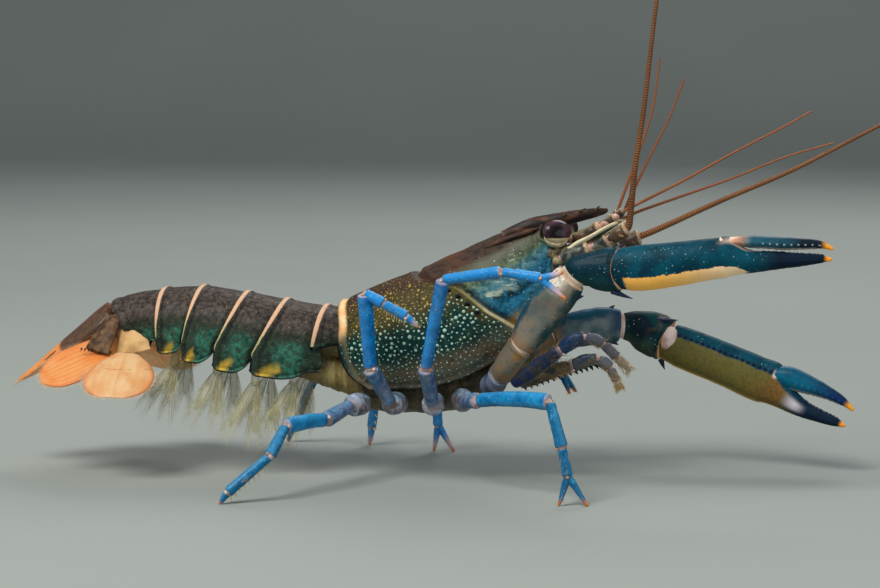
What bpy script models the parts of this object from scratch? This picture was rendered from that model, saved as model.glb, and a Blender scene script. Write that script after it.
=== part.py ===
"""Banded freshwater crayfish (Cherax), still and at life size, standing with both claws held out in front.

Lengths are in millimetres until a mesh is made. X runs forward, Y to the animal's left, Z up from the floor.
The carapace has a frame of its own: "ahead" runs along its back and "rise" stands square to it.
"""
import math

import bmesh
import bpy
import numpy as np
from mathutils import Vector

MM = 0.001
GAP = 0.3
# What is taken off every point, so that the middle of the object's footprint is the origin
MIDDLE = Vector((16.1, -0.6, 0.0))
# Radius of a spine's point
POINT = 0.06

# Carapace: where its back starts, how steeply it climbs, and its sizes along the back
BACK_START = Vector((-18.4, 0.0, 31.7))
PITCH = math.radians(22.7)
AHEAD = Vector((math.cos(PITCH), 0.0, math.sin(PITCH)))
RISE = Vector((-math.sin(PITCH), 0.0, math.cos(PITCH)))
# ahead, half width, rise of the back, of the widest place and of the lower edge, half width at that edge
CARAPACE = ((-3.0, 7.4, -0.6, -8.2, -15.2, 5.6), (0.0, 8.2, 0.0, -8.6, -16.4, 6.0),
            (5.0, 9.6, 0.3, -9.4, -18.2, 6.6), (11.0, 10.5, 0.4, -10.2, -20.1, 7.2),
            (16.0, 10.3, 0.1, -10.2, -20.7, 7.0), (21.0, 9.7, 0.4, -9.8, -20.6, 6.5),
            (26.0, 9.0, 0.5, -9.0, -19.6, 5.8), (31.0, 8.0, 0.7, -7.8, -17.6, 5.0),
            (36.0, 6.6, 0.5, -6.2, -14.2, 4.2), (40.0, 5.4, 0.0, -5.0, -10.6, 3.6),
            (42.0, 4.8, -0.4, -4.6, -9.2, 3.2))
# Where the rings of the two shells lie, as shares of the way from their rear margin to their front one
THORAX_SHARES = (0, 0.06, 0.18, 0.34, 0.5, 0.66, 0.8, 0.9, 0.96, 1)
HEAD_SHARES = (0, 0.05, 0.14, 0.3, 0.45, 0.6, 0.75, 0.88, 1)
# Share of the depth below the back, and how far ahead each margin of the shell lies there
REAR_MARGIN = ((0.0, 0.0), (0.25, -0.6), (0.4, -1.7), (0.62, -2.4), (0.83, -2.0), (0.93, -1.0), (1.0, 0.6))
NECK_GROOVE = ((0.0, 15.6), (0.13, 18.6), (0.27, 22.9), (0.4, 24.6), (0.58, 26.5), (0.79, 29.0),
               (1.0, 31.0))
FRONT_MARGIN = ((0.0, 41.0), (0.25, 39.6), (0.45, 41.4), (0.7, 39.6), (1.0, 38.0))
GROOVE_GAP = 0.5
GROOVE_DEPTH = 0.5
GROOVE_REACH = 0.9
SHELL_STEPS = 11

# Abdomen: the line of its back from the carapace to the tail fan, then its sizes along it
TAIL_BACK = ((-61.7, 30.9), (-57.8, 32.5), (-52.7, 33.4), (-44.7, 34.1), (-36.3, 33.2), (-28.9, 32.0),
             (-21.4, 31.0), (-18.2, 30.9))
# along X, half width, height of the arch above the flanks, depth of the belly
TAIL_SIZES = ((-62.5, 5.4, 4.6, 5.2), (-57.0, 6.6, 5.6, 6.8), (-52.7, 7.4, 6.4, 8.0),
              (-44.7, 8.2, 7.2, 8.8), (-33.0, 8.6, 7.6, 9.0), (-25.0, 8.4, 7.4, 8.9),
              (-18.0, 7.6, 6.8, 8.4))
# Rear edge of each segment at the back, how far its flank has swept back, and the depth of its side plate
SEGMENT_EDGES = (-21.4, -28.9, -36.3, -44.7, -51.9, -61.4)
SEGMENT_SWEEPS = (0.9, 2.9, 2.5, 1.5, 0.7, -3.8)
SIDE_DEPTHS = (6.9, 13.3, 13.6, 13.1, 11.5, 9.2)
FRONT_CURLS = (0.0, 0.12, 0.2, 0.2, 0.2, 0.2)
SECOND_PLATE_REACH = (0.3, 0.6, -0.3)
FIRST_BELLY_RISE = 2.5
PLATE_GAP = 0.42
FIRST_EDGE = -18.75
PLATE_LIP = 0.28
SIDE_WALL = 1.1

# Shades of the shell as red, green, blue, then roughness
FINISHES = {
    "head_shell": ((0.09, 0.10, 0.07), 0.4),
    "thorax_shell": ((0.05, 0.09, 0.07), 0.4),
    "underside": ((0.30, 0.25, 0.18), 0.6),
    "tail_shell": ((0.06, 0.05, 0.04), 0.4),
    "fan": ((0.75, 0.30, 0.08), 0.5),
    "swimmeret": ((0.45, 0.36, 0.20), 0.6),
    "eye": ((0.05, 0.02, 0.05), 0.15),
    "stalk": ((0.70, 0.58, 0.40), 0.5),
    "feeler": ((0.32, 0.13, 0.05), 0.5),
    "mouthpart": ((0.12, 0.12, 0.10), 0.5),
    "claw": ((0.01, 0.10, 0.13), 0.3),
    "leg": ((0.02, 0.15, 0.45), 0.35),
}


def clear_scene():
    for thing in list(bpy.data.objects):
        bpy.data.objects.remove(thing, do_unlink=True)


def reading(table, x):
    """The sizes in a table at x, read along a smooth curve through its rows."""
    rows = np.array(table, float)
    marks = rows[:, 0]
    sizes = rows[:, 1:]
    x = min(max(x, marks[0]), marks[-1])
    i = int(min(max(np.searchsorted(marks, x) - 1, 0), len(marks) - 2))
    slopes = np.gradient(sizes, marks, axis=0)
    span = marks[i + 1] - marks[i]
    f = (x - marks[i]) / span
    value = (
        (2 * f**3 - 3 * f**2 + 1) * sizes[i]
        + (f**3 - 2 * f**2 + f) * span * slopes[i]
        + (3 * f**2 - 2 * f**3) * sizes[i + 1]
        + (f**3 - f**2) * span * slopes[i + 1]
    )
    return value if len(value) > 1 else float(value[0])


def curve_points(points, count):
    """Evenly numbered points on a smooth curve through the given ones."""
    rows = [(i, *p) for i, p in enumerate(points)]
    return [Vector(reading(rows, t)) for t in np.linspace(0, len(points) - 1, count)]


def closed_mesh(name, rings, centres=(None, None)):
    """A loft through rings of equal count, capped by fans, as one closed mesh object."""
    mesh = bmesh.new()
    rows = [[mesh.verts.new((Vector(p) - MIDDLE) * MM) for p in ring] for ring in rings]
    count = len(rows[0])
    for low, high in zip(rows, rows[1:]):
        for i in range(count):
            j = (i + 1) % count
            mesh.faces.new((low[i], low[j], high[j]))
            mesh.faces.new((low[i], high[j], high[i]))
    for row, ring, centre in ((rows[0], rings[0], centres[0]), (rows[-1], rings[-1], centres[1])):
        middle = Vector(centre) if centre else sum((Vector(p) for p in ring), Vector()) / count
        hub = mesh.verts.new((middle - MIDDLE) * MM)
        for i in range(count):
            mesh.faces.new((row[i], row[(i + 1) % count], hub))
    return finished(name, mesh)


def finished(name, mesh):
    bmesh.ops.recalc_face_normals(mesh, faces=mesh.faces)
    data = bpy.data.meshes.new(name)
    mesh.to_mesh(data)
    mesh.free()
    thing = bpy.data.objects.new(name, data)
    model.objects.link(thing)
    return thing


def tube(name, stations, sides=8, up=(0, 0, 1), flat_foot=False):
    """A limb through stations of (point, half width, half height); a flat foot ends level on the floor."""
    points = [Vector(s[0]) for s in stations]
    hint = Vector(up)
    rings = []
    for i, (_, wide, high) in enumerate(stations):
        run = points[min(i + 1, len(points) - 1)] - points[max(i - 1, 0)]
        run.normalize()
        hint = (hint - run * hint.dot(run)).normalized()
        across = run.cross(hint)
        rise = hint
        if flat_foot and i == len(points) - 1:
            across = Vector((across.x, across.y, 0.0)).normalized()
            rise = Vector((0, 0, 1)).cross(across)
        angles = [2 * math.pi * k / sides for k in range(sides)]
        rings.append([points[i] + across * wide * math.cos(a) + rise * high * math.sin(a) for a in angles])
    return closed_mesh(name, rings)


def fuse(body, pieces):
    """Joins pieces to a body and keeps the largest closed surface."""
    if not pieces:
        return body
    group = bpy.data.collections.new(body.name + "_pieces")
    for piece in pieces:
        group.objects.link(piece)
        model.objects.unlink(piece)
    union = body.modifiers.new("fuse", "BOOLEAN")
    union.operation = "UNION"
    union.operand_type = "COLLECTION"
    union.collection = group
    union.solver = "EXACT"
    bpy.context.view_layer.update()
    ready = body.evaluated_get(bpy.context.evaluated_depsgraph_get())
    data = bpy.data.meshes.new_from_object(ready)
    body.modifiers.clear()
    body.data = data
    for piece in pieces:
        bpy.data.objects.remove(piece, do_unlink=True)
    bpy.data.collections.remove(group)
    keep_largest(data)
    return body


def keep_largest(data):
    mesh = bmesh.new()
    mesh.from_mesh(data)
    bmesh.ops.triangulate(mesh, faces=mesh.faces)
    left = set(mesh.verts)
    shells = []
    while left:
        reached = {left.pop()}
        edge = list(reached)
        while edge:
            corner = edge.pop()
            for link in corner.link_edges:
                other = link.other_vert(corner)
                if other in left:
                    left.discard(other)
                    reached.add(other)
                    edge.append(other)
        shells.append(reached)
    shells.sort(key=len)
    scraps = [corner for shell in shells[:-1] for corner in shell]
    bmesh.ops.delete(mesh, geom=scraps, context="VERTS")
    mesh.to_mesh(data)
    mesh.free()


def spike(root, tip, radius, sides=4):
    """A small pointed spine whose base is sunk in what it grows from."""
    return tube("spike", ((root, radius, radius), (tip, POINT, POINT)), sides=sides, up=(0.3, 0.9, 0.2))


def finish(thing, finish_name):
    colour, roughness = FINISHES[finish_name]
    material = bpy.data.materials.new(thing.name)
    material.use_nodes = True
    shader = material.node_tree.nodes["Principled BSDF"]
    shader.inputs["Base Color"].default_value = (*colour, 1.0)
    shader.inputs["Roughness"].default_value = roughness
    shader.inputs["Metallic"].default_value = 0.0
    thing.data.materials.clear()
    thing.data.materials.append(material)
    thing.data.shade_smooth()
    thing.data.set_sharp_from_angle(angle=math.radians(40))
    return thing


def in_body(ahead, left, rise):
    """A point of the carapace's own frame, in the part's frame."""
    return BACK_START + AHEAD * ahead + RISE * rise + Vector((0, left, 0))


def shell_section(ahead, t):
    """Half width and rise of the carapace at t, from 0 on the back to 1 at the lower edge."""
    half, top, widest, bottom, foot = reading(CARAPACE, ahead)
    upper = 0.5
    if t <= upper:
        turn = math.pi / 2 * t / upper
        return half * math.sin(turn) ** 0.9, widest + (top - widest) * math.cos(turn) ** 0.9
    turn = math.pi / 2 * (t - upper) / (1 - upper)
    return half - (half - foot) * (1 - math.cos(turn)), widest - (widest - bottom) * math.sin(turn)


def margin(table, t):
    """How far ahead a margin of the carapace lies at t."""
    ahead = table[0][1]
    for _ in range(4):
        _, rise = shell_section(ahead, t)
        _, top, _, bottom, _ = reading(CARAPACE, ahead)
        ahead = reading(table, (top - rise) / (top - bottom))
    return ahead


def shell_ring(rear, front, share):
    """One closed ring of the carapace, a share of the way from one (margin, offset) to another."""
    ring = []
    for k in range(-SHELL_STEPS, SHELL_STEPS + 1):
        t = abs(k) / SHELL_STEPS
        start = margin(rear[0], t) + rear[1]
        end = margin(front[0], t) + front[1]
        ahead = start + (end - start) * share
        half, rise = shell_section(ahead, t)
        dent = GROOVE_DEPTH * math.exp(-((ahead - margin(NECK_GROOVE, t)) / GROOVE_REACH) ** 2)
        ring.append(in_body(ahead, math.copysign(max(half - dent * t, 0), k), rise - dent * (1 - t)))
    ring.append(in_body(ahead, 0, rise))
    return ring


def make_thorax():
    rear = (REAR_MARGIN, 0)
    front = (NECK_GROOVE, -GROOVE_GAP / 2)
    hubs = (in_body(-1.6, 0, -9), in_body(24.0 - GROOVE_GAP / 2, 0, -9))
    rings = [shell_ring(rear, front, share) for share in THORAX_SHARES]
    body = closed_mesh("thorax", rings, hubs)
    spines = []
    for side in (-1, 1):
        for depth in (0.38, 0.44, 0.5, 0.57):
            ahead = margin(NECK_GROOVE, depth) - 1.5
            half, rise = shell_section(ahead, depth)
            foot = in_body(ahead - 0.3, side * (half - 0.8), rise)
            tip = in_body(ahead + 0.5, side * (half + 0.75), rise)
            spines.append(spike(foot, tip, 0.5))
    return finish(fuse(body, spines), "thorax_shell")


# Rostrum: ahead, half width, rise of its top, thickness; then where its rings and its pairs of spines lie
ROSTRUM = ((34.0, 4.0, 0.2, 2.4), (38.0, 3.6, 0.2, 2.4), (41.0, 3.0, -0.2, 2.2), (44.4, 2.5, -0.8, 1.9),
           (47.3, 1.95, -1.4, 1.6), (50.0, 1.25, -2.0, 1.3), (51.9, 0.3, -2.5, 0.6))
ROSTRUM_RINGS = (34.0, 37.0, 40.0, 42.5, 45.0, 47.5, 50.0, 51.4, 51.9)
ROSTRUM_SPINES = ((44.4, 2.45), (47.3, 1.85), (50.0, 1.15))
# Ridge behind the eye: ahead, distance from the midline, rise, radius
EYE_RIDGE = ((27.5, 4.4, -0.9, 0.3), (30.5, 4.7, -0.75, 0.6), (34.5, 4.75, -0.75, 0.75),
             (37.5, 4.6, -0.85, 0.75), (39.6, 4.4, -0.95, 0.12))


def rostrum():
    """A flat beak with raised rims and a shallow trough between them."""
    rings = []
    for ahead in ROSTRUM_RINGS:
        wide, top, thick = reading(ROSTRUM, ahead)
        left_rim = ((-wide, 0), (-wide * 0.82, 0.12 * wide), (-wide * 0.45, -0.05 * wide))
        right_rim = [(-y, n) for y, n in reversed(left_rim)]
        below = ((wide * 0.75, -thick * 0.6), (0, -thick), (-wide * 0.75, -thick * 0.6))
        outline = (*left_rim, (0, -0.07 * wide), *right_rim, *below)
        rings.append([in_body(ahead, y, top + n) for y, n in outline])
    return closed_mesh("rostrum", rings)


def eye_ridge(side):
    """The ridge behind the eye, ending in a short spine."""
    stations = [(in_body(ahead, side * y, rise), wide, wide * 0.9) for ahead, y, rise, wide in EYE_RIDGE]
    return tube("eye_ridge", stations, sides=6, up=RISE)


def make_head():
    rear = (NECK_GROOVE, GROOVE_GAP / 2)
    front = (FRONT_MARGIN, 0)
    hubs = (in_body(24.0 + GROOVE_GAP / 2, 0, -9), in_body(39.2, 0, -5))
    rings = [shell_ring(rear, front, share) for share in HEAD_SHARES]
    body = closed_mesh("head", rings, hubs)
    extras = [rostrum()]
    for side in (-1, 1):
        extras.append(eye_ridge(side))
        for ahead, wide in ROSTRUM_SPINES:
            rise = reading(ROSTRUM, ahead)[1]
            foot = in_body(ahead - 0.5, side * (wide - 0.45), rise - 0.35)
            tip = in_body(ahead + 0.75, side * (wide + 0.45), rise + 0.55)
            extras.append(spike(foot, tip, 0.42))
        foot = in_body(39.0, side * 4.9, -6.3)
        extras.append(spike(foot, in_body(41.6, side * 6.0, -6.3), 0.65))
    return finish(fuse(body, extras), "head_shell")


def tail_point(x, side_y, drop, sweep):
    """A point of the abdomen: below the back line at x, square to it, and swept back."""
    z = reading(TAIL_BACK, x)
    slope = math.atan((reading(TAIL_BACK, x + 0.5) - reading(TAIL_BACK, x - 0.5)))
    return Vector((x + math.sin(slope) * drop - sweep, side_y, z - math.cos(slope) * drop))


def segment_ring(index, share, arc_steps=4, side_steps=3):
    """A ring of an abdominal segment: outside over the back, then inside along the side plates and belly."""
    start = FIRST_EDGE if index == 0 else SEGMENT_EDGES[index - 1] - PLATE_GAP
    start_sweep = 0.0 if index == 0 else SEGMENT_SWEEPS[index - 1]
    x = start + (SEGMENT_EDGES[index] - start) * share
    sweep = start_sweep + (SEGMENT_SWEEPS[index] - start_sweep) * share
    half, arch, belly = reading(TAIL_SIZES, x)
    if index == 0:
        belly -= FIRST_BELLY_RISE
        arch = min(arch, belly)
    lip = PLATE_LIP * min(1.0, max(0.0, (share - 0.6) / 0.3)) - PLATE_LIP * max(0.0, 1 - share / 0.14)
    half += lip
    curl = 1 - FRONT_CURLS[index] * max(0.0, 1 - share / 0.5) ** 2 - 0.05 * max(0.0, (share - 0.85) / 0.15)
    depth = max(SIDE_DEPTHS[index] * curl, belly + 0.9)
    outer = []
    inner = []
    for k in range(arc_steps + side_steps + 1):
        reach = 0.0
        if k <= arc_steps:
            turn = math.pi / 2 * k / arc_steps
            out = (half * math.sin(turn), arch * (1 - math.cos(turn)) - lip)
            near = ((half - SIDE_WALL - 0.6) * k / arc_steps, belly)
        else:
            fall = (k - arc_steps) / side_steps
            out = (half - 0.5 * fall**2, arch + (depth - arch) * fall - lip * (1 - fall))
            near = (half - SIDE_WALL - 0.6 + 0.5 * fall, belly + (depth - 0.25 - belly) * fall)
            if index == 1:
                reach = SECOND_PLATE_REACH[k - arc_steps - 1] * (1 - share) ** 2
        outer.append((*out, reach))
        inner.append((*near, reach))
    outline = [(-y, n, reach) for y, n, reach in reversed(outer)] + outer[1:]
    outline += list(reversed(inner)) + [(-y, n, reach) for y, n, reach in inner[1:]]
    return [tail_point(x, y, n, sweep * min(1.0, max(n, 0) / 9.0) ** 1.3 - reach) for y, n, reach in outline]


def strip_loft(name, rings):
    """A loft through rings whose first half is the outside and second half the inside, capped by strips."""
    mesh = bmesh.new()
    rows = [[mesh.verts.new((p - MIDDLE) * MM) for p in ring] for ring in rings]
    count = len(rows[0])
    for low, high in zip(rows, rows[1:]):
        for i in range(count):
            j = (i + 1) % count
            mesh.faces.new((low[i], low[j], high[j]))
            mesh.faces.new((low[i], high[j], high[i]))
    for row in (rows[0], rows[-1]):
        for i in range(count // 2 - 1):
            j = count - 1 - i
            mesh.faces.new((row[i], row[i + 1], row[j - 1]))
            mesh.faces.new((row[i], row[j - 1], row[j]))
    return finished(name, mesh)


def make_abdomen():
    for index in range(len(SEGMENT_EDGES)):
        shares = (0, 0.14, 0.3, 0.5, 0.7, 0.86, 1) if index else (0, 0.5, 1)
        rings = [segment_ring(index, share) for share in shares]
        finish(strip_loft(f"abdomen_{index + 1}", rings), "tail_shell")


# Underside of the thorax: along X, half width, top, bottom
UNDERSIDE = ((-15.4, 4.2, 15.4, 12.8), (-12.5, 5.0, 16.2, 12.4), (-6.0, 5.0, 16.3, 12.2),
             (0.0, 5.0, 16.7, 12.4), (5.0, 4.9, 18.2, 13.6), (9.5, 4.5, 20.4, 16.2),
             (13.0, 4.0, 22.7, 18.8), (16.5, 3.5, 25.9, 21.8), (19.5, 2.8, 29.4, 25.8))


def make_underside():
    rings = []
    for x, half, top, bottom in UNDERSIDE:
        middle = (top + bottom) / 2
        outline = ((-half * 0.8, top), (0, top), (half * 0.8, top), (half, middle), (half * 0.6, bottom),
                   (0, bottom - 0.3), (-half * 0.6, bottom), (-half, middle))
        rings.append([Vector((x, y, z)) for y, z in outline])
    finish(closed_mesh("underside", rings), "underside")


def blade(name, root, run, across, length, sizes, camber=0.0, steps=5):
    """A thin plate: sizes are rows of (share of length, half width, thickness), with a raised midrib."""
    run = Vector(run).normalized()
    across = Vector(across)
    across = (across - run * across.dot(run)).normalized()
    face = across.cross(run)
    rings = []
    for share, wide, thick in sizes:
        top = []
        low = []
        for k in range(-steps, steps + 1):
            f = k / steps
            sag = -camber * f * f * wide
            rib = 0.25 * min(1.0, wide / 2) * math.exp(-(f / 0.25) ** 2)
            edge = 0.5 + 0.5 * math.sqrt(max(0.0, 1 - f**4))
            place = Vector(root) + run * length * share + across * wide * f
            top.append(place + face * (sag + thick * 0.5 * edge + rib))
            low.append(place + face * (sag - thick * 0.5 * edge))
        rings.append(top + list(reversed(low)))
    return strip_loft(name, rings)


# Plates of the tail fan: share of the length, half width, thickness
TELSON = ((0, 4.0, 1.7), (0.06, 4.9, 1.8), (0.3, 5.4, 1.5), (0.55, 5.5, 1.2), (0.72, 5.1, 0.9),
          (0.88, 4.0, 0.7), (0.97, 2.4, 0.6), (1, 1.4, 0.55))
INNER_FAN = ((0, 1.6, 1.0), (0.12, 2.7, 1.1), (0.35, 3.7, 1.0), (0.6, 4.1, 0.85), (0.8, 3.6, 0.7),
             (0.93, 2.3, 0.6), (1, 1.2, 0.55))
OUTER_FAN = ((0, 1.7, 1.0), (0.12, 3.1, 1.1), (0.35, 5.2, 1.0), (0.6, 5.6, 0.85), (0.8, 4.9, 0.7),
             (0.93, 3.3, 0.6), (1, 1.9, 0.55))
# Foot that carries the inner plate, on the left: point, half width, half height
FAN_FOOT = (((-61.2, 3.9, 26.8), 1.2, 1.2), ((-60.9, 5.4, 25.3), 1.6, 1.3), ((-60.5, 6.8, 23.8), 1.8, 1.2),
            ((-60.4, 7.8, 22.8), 1.5, 0.8))


def make_fan():
    telson = blade("telson", (-62.3, 0, 30.0), (-0.785, 0, -0.62), (0, 1, 0), 23.2, TELSON, camber=0.12)
    spines = []
    for side in (-1, 1):
        foot = Vector((-71.6, side * 4.9, 22.4))
        spines.append(spike(foot, foot + Vector((-2.0, side * 0.7, -1.3)), 0.5))
    finish(fuse(telson, spines), "fan")
    for side, word in ((-1, "right"), (1, "left")):
        stations = [((x, side * y, z), wide, high) for (x, y, z), wide, high in FAN_FOOT]
        foot = tube("foot", stations, 8, (0.5, 0, 1))
        inner = blade(f"uropod_inner_{word}", (-60.2, side * 7.0, 23.2), (-0.83, side * 0.27, -0.44),
                      (0.12, side, -0.55), 13.8, INNER_FAN, camber=0.08)
        finish(fuse(inner, [foot]), "fan")
        outer = blade(f"uropod_outer_{word}", (-56.6, side * 8.5, 22.2), (0.02, side * 0.84, -0.52),
                      (-1, side * 0.25, -0.1), 12.6, OUTER_FAN, camber=0.08)
        finish(outer, "fan")


# Swimmerets: segment number, root and tip of the right one
SWIMMERETS = ((2, (-25.6, -4.6, 22.0), (-27.2, -6.4, 9.4)), (3, (-32.9, -4.8, 22.6), (-33.9, -6.6, 8.2)),
              (4, (-40.2, -4.6, 23.6), (-41.0, -6.2, 11.2)), (5, (-48.0, -4.2, 24.2), (-50.4, -5.6, 13.0)))


# Stem radii along the upper part, and the vanes' half widths and thicknesses
STEM = ((0, 0.9, 0.9), (0.2, 0.85, 0.85), (0.42, 0.9, 0.8))
VANE = ((0, 0.5, 0.6), (0.25, 1.0, 0.6), (0.65, 1.1, 0.55), (0.92, 0.7, 0.5), (1, 0.3, 0.5))


def make_swimmerets():
    for number, root, tip in SWIMMERETS:
        for side, word in ((1, "right"), (-1, "left")):
            start = Vector((root[0], side * root[1], root[2]))
            end = Vector((tip[0], side * tip[1], tip[2]))
            run = end - start
            stations = [(start.lerp(end, f), wide, high) for f, wide, high in STEM]
            stem = tube(f"swimmeret_{number}_{word}", stations, 6, (0, 1, 0))
            vanes = []
            for lean in (-1, 1):
                heel = start.lerp(end, 0.36) + Vector((lean * 0.3, 0, 0))
                direction = run.normalized() + Vector((lean * 0.14, 0, 0))
                vanes.append(blade("vane", heel, direction, (1, 0, 0), run.length * 0.64, VANE, steps=2))
            finish(fuse(stem, vanes), "swimmeret")


# Walking legs: joints from the body out (root, coxa, ischium, merus, carpus, propodus, then the tips)
LEGS = {
    "leg_2_right": ((5.0, -5.5, 15.2), (5.9, -10.0, 15.4), (9.4, -15.3, 16.4), (23.2, -23.0, 17.6),
                    (25.6, -25.0, 10.0), (26.6, -25.0, 5.1), (25.1, -25.2, 0.0), (30.1, -24.8, 0.0)),
    "leg_3_right": ((0.0, -5.5, 14.4), (0.4, -10.0, 14.6), (0.2, -15.4, 22.0), (3.9, -19.0, 38.0),
                    (14.6, -21.6, 39.8), (21.6, -22.4, 38.9), (25.5, -22.8, 40.0), (25.9, -22.8, 35.4)),
    "leg_4_right": ((-6.4, -5.75, 14.2), (-7.2, -10.0, 14.6), (-10.0, -14.6, 21.6), (-10.4, -17.2, 35.2),
                    (-7.0, -17.4, 33.4), (-3.0, -16.8, 31.2), (-0.9, -16.2, 29.2)),
    "leg_5_right": ((-12.9, -5.65, 13.9), (-14.7, -9.4, 14.0), (-17.7, -16.5, 12.4), (-22.9, -25.2, 12.4),
                    (-24.6, -30.0, 7.9), (-31.4, -33.2, 1.9), (-32.6, -33.8, 0.0)),
    "leg_2_left": ((5.0, 5.5, 15.2), (6.4, 10.2, 15.4), (9.6, 14.8, 17.0), (13.4, 21.6, 25.0),
                   (16.0, 22.4, 21.0), (20.3, 18.0, 16.8), (23.1, 16.6, 13.7), (22.0, 15.2, 13.5)),
    "leg_3_left": ((0.0, 5.5, 14.4), (0.2, 10.2, 14.6), (-0.6, 14.8, 17.0), (-4.4, 23.4, 20.6),
                   (-5.2, 25.0, 13.6), (-4.9, 25.6, 5.0), (-5.8, 26.0, 0.0), (-1.8, 26.2, 0.0)),
    "leg_4_left": ((-6.4, 5.75, 14.2), (-7.6, 10.2, 14.4), (-9.6, 14.8, 17.6), (-15.2, 24.6, 23.6),
                   (-17.0, 28.0, 16.6), (-19.0, 30.6, 3.6), (-19.6, 31.2, 0.0)),
    "leg_5_left": ((-12.9, 5.65, 13.9), (-15.4, 9.6, 14.0), (-19.0, 15.4, 15.4), (-27.0, 24.0, 18.6),
                   (-30.0, 27.6, 13.0), (-35.4, 31.8, 2.6), (-36.4, 32.6, 0.0)),
}
# Radii of the coxa, ischium, merus, carpus and propodus, and of the flat that a toe stands on
LEG_WIDTHS = (2.0, 1.3, 1.2, 0.95, 0.85)
TOE = 0.32
LEG_UP = (0.2, 0.1, 1.0)


# Share of a leg piece's length, and its radius there as a share of its full one
LIMB_SHAPE = ((0.18, 0.92), (0.55, 1.0), (0.88, 1.08), (0.97, 0.86))
LIMB_ROOT = 0.8


def limb_stations(start, end, radius, first=0.0):
    """Stations of one leg piece: narrow at its root, fullest near its far end."""
    start = Vector(start)
    end = Vector(end)
    marks = [(first, LIMB_ROOT)] + [row for row in LIMB_SHAPE if row[0] > first]
    return [(start.lerp(end, f), radius * s, radius * s) for f, s in marks]


def make_leg(name, joints):
    root, coxa, ischium, merus, carpus, hand = (Vector(p) for p in joints[:6])
    tips = [Vector(p) for p in joints[6:]]
    wide = LEG_WIDTHS
    upper = [(root, wide[0] * 0.85, wide[0] * 0.85), (root.lerp(coxa, 0.5), wide[0], wide[0]),
             (coxa, wide[0] * 0.82, wide[0] * 0.82)]
    upper += limb_stations(coxa, ischium, wide[1], 0.35)
    upper += limb_stations(ischium, merus, wide[2], 0.04)
    finish(tube(name + "_upper", upper, 7, LEG_UP), "leg")
    along = (merus - ischium).normalized()
    onward = (carpus - merus).normalized()
    aside = (onward - along * onward.dot(along)).normalized()
    start = merus + along * (GAP - 0.03 * (merus - ischium).length)
    lower = [(start, wide[3] * 0.85, wide[3] * 0.85), (start + along * 0.7, wide[3], wide[3]),
             (start + along * 1.3 + aside * 0.9, wide[3], wide[3])]
    if onward.dot(along) < 0.2:
        lower.append((start + along * 1.0 + aside * 2.1, wide[3], wide[3]))
    lower += limb_stations(merus, carpus, wide[3])[3:]
    lower += limb_stations(carpus, hand, wide[4], 0.06)[:-1]
    stands = tips[0].z < 0.5
    lower += [(hand, wide[4] * 0.8, wide[4] * 0.8), (hand.lerp(tips[0], 0.5), wide[4] * 0.6, wide[4] * 0.6),
              (tips[0], TOE, TOE)]
    body = tube(name + "_lower", lower, 7, LEG_UP, flat_foot=stands)
    fingers = []
    for tip in tips[1:]:
        heel = hand.lerp(carpus, 0.16)
        stations = ((heel, 0.5, 0.5), (hand.lerp(tip, 0.3), 0.52, 0.52), (hand.lerp(tip, 0.7), 0.45, 0.45),
                    (tip, TOE, TOE))
        fingers.append(tube("finger", stations, 6, LEG_UP, flat_foot=stands))
    finish(fuse(body, fingers), "leg")


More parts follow.
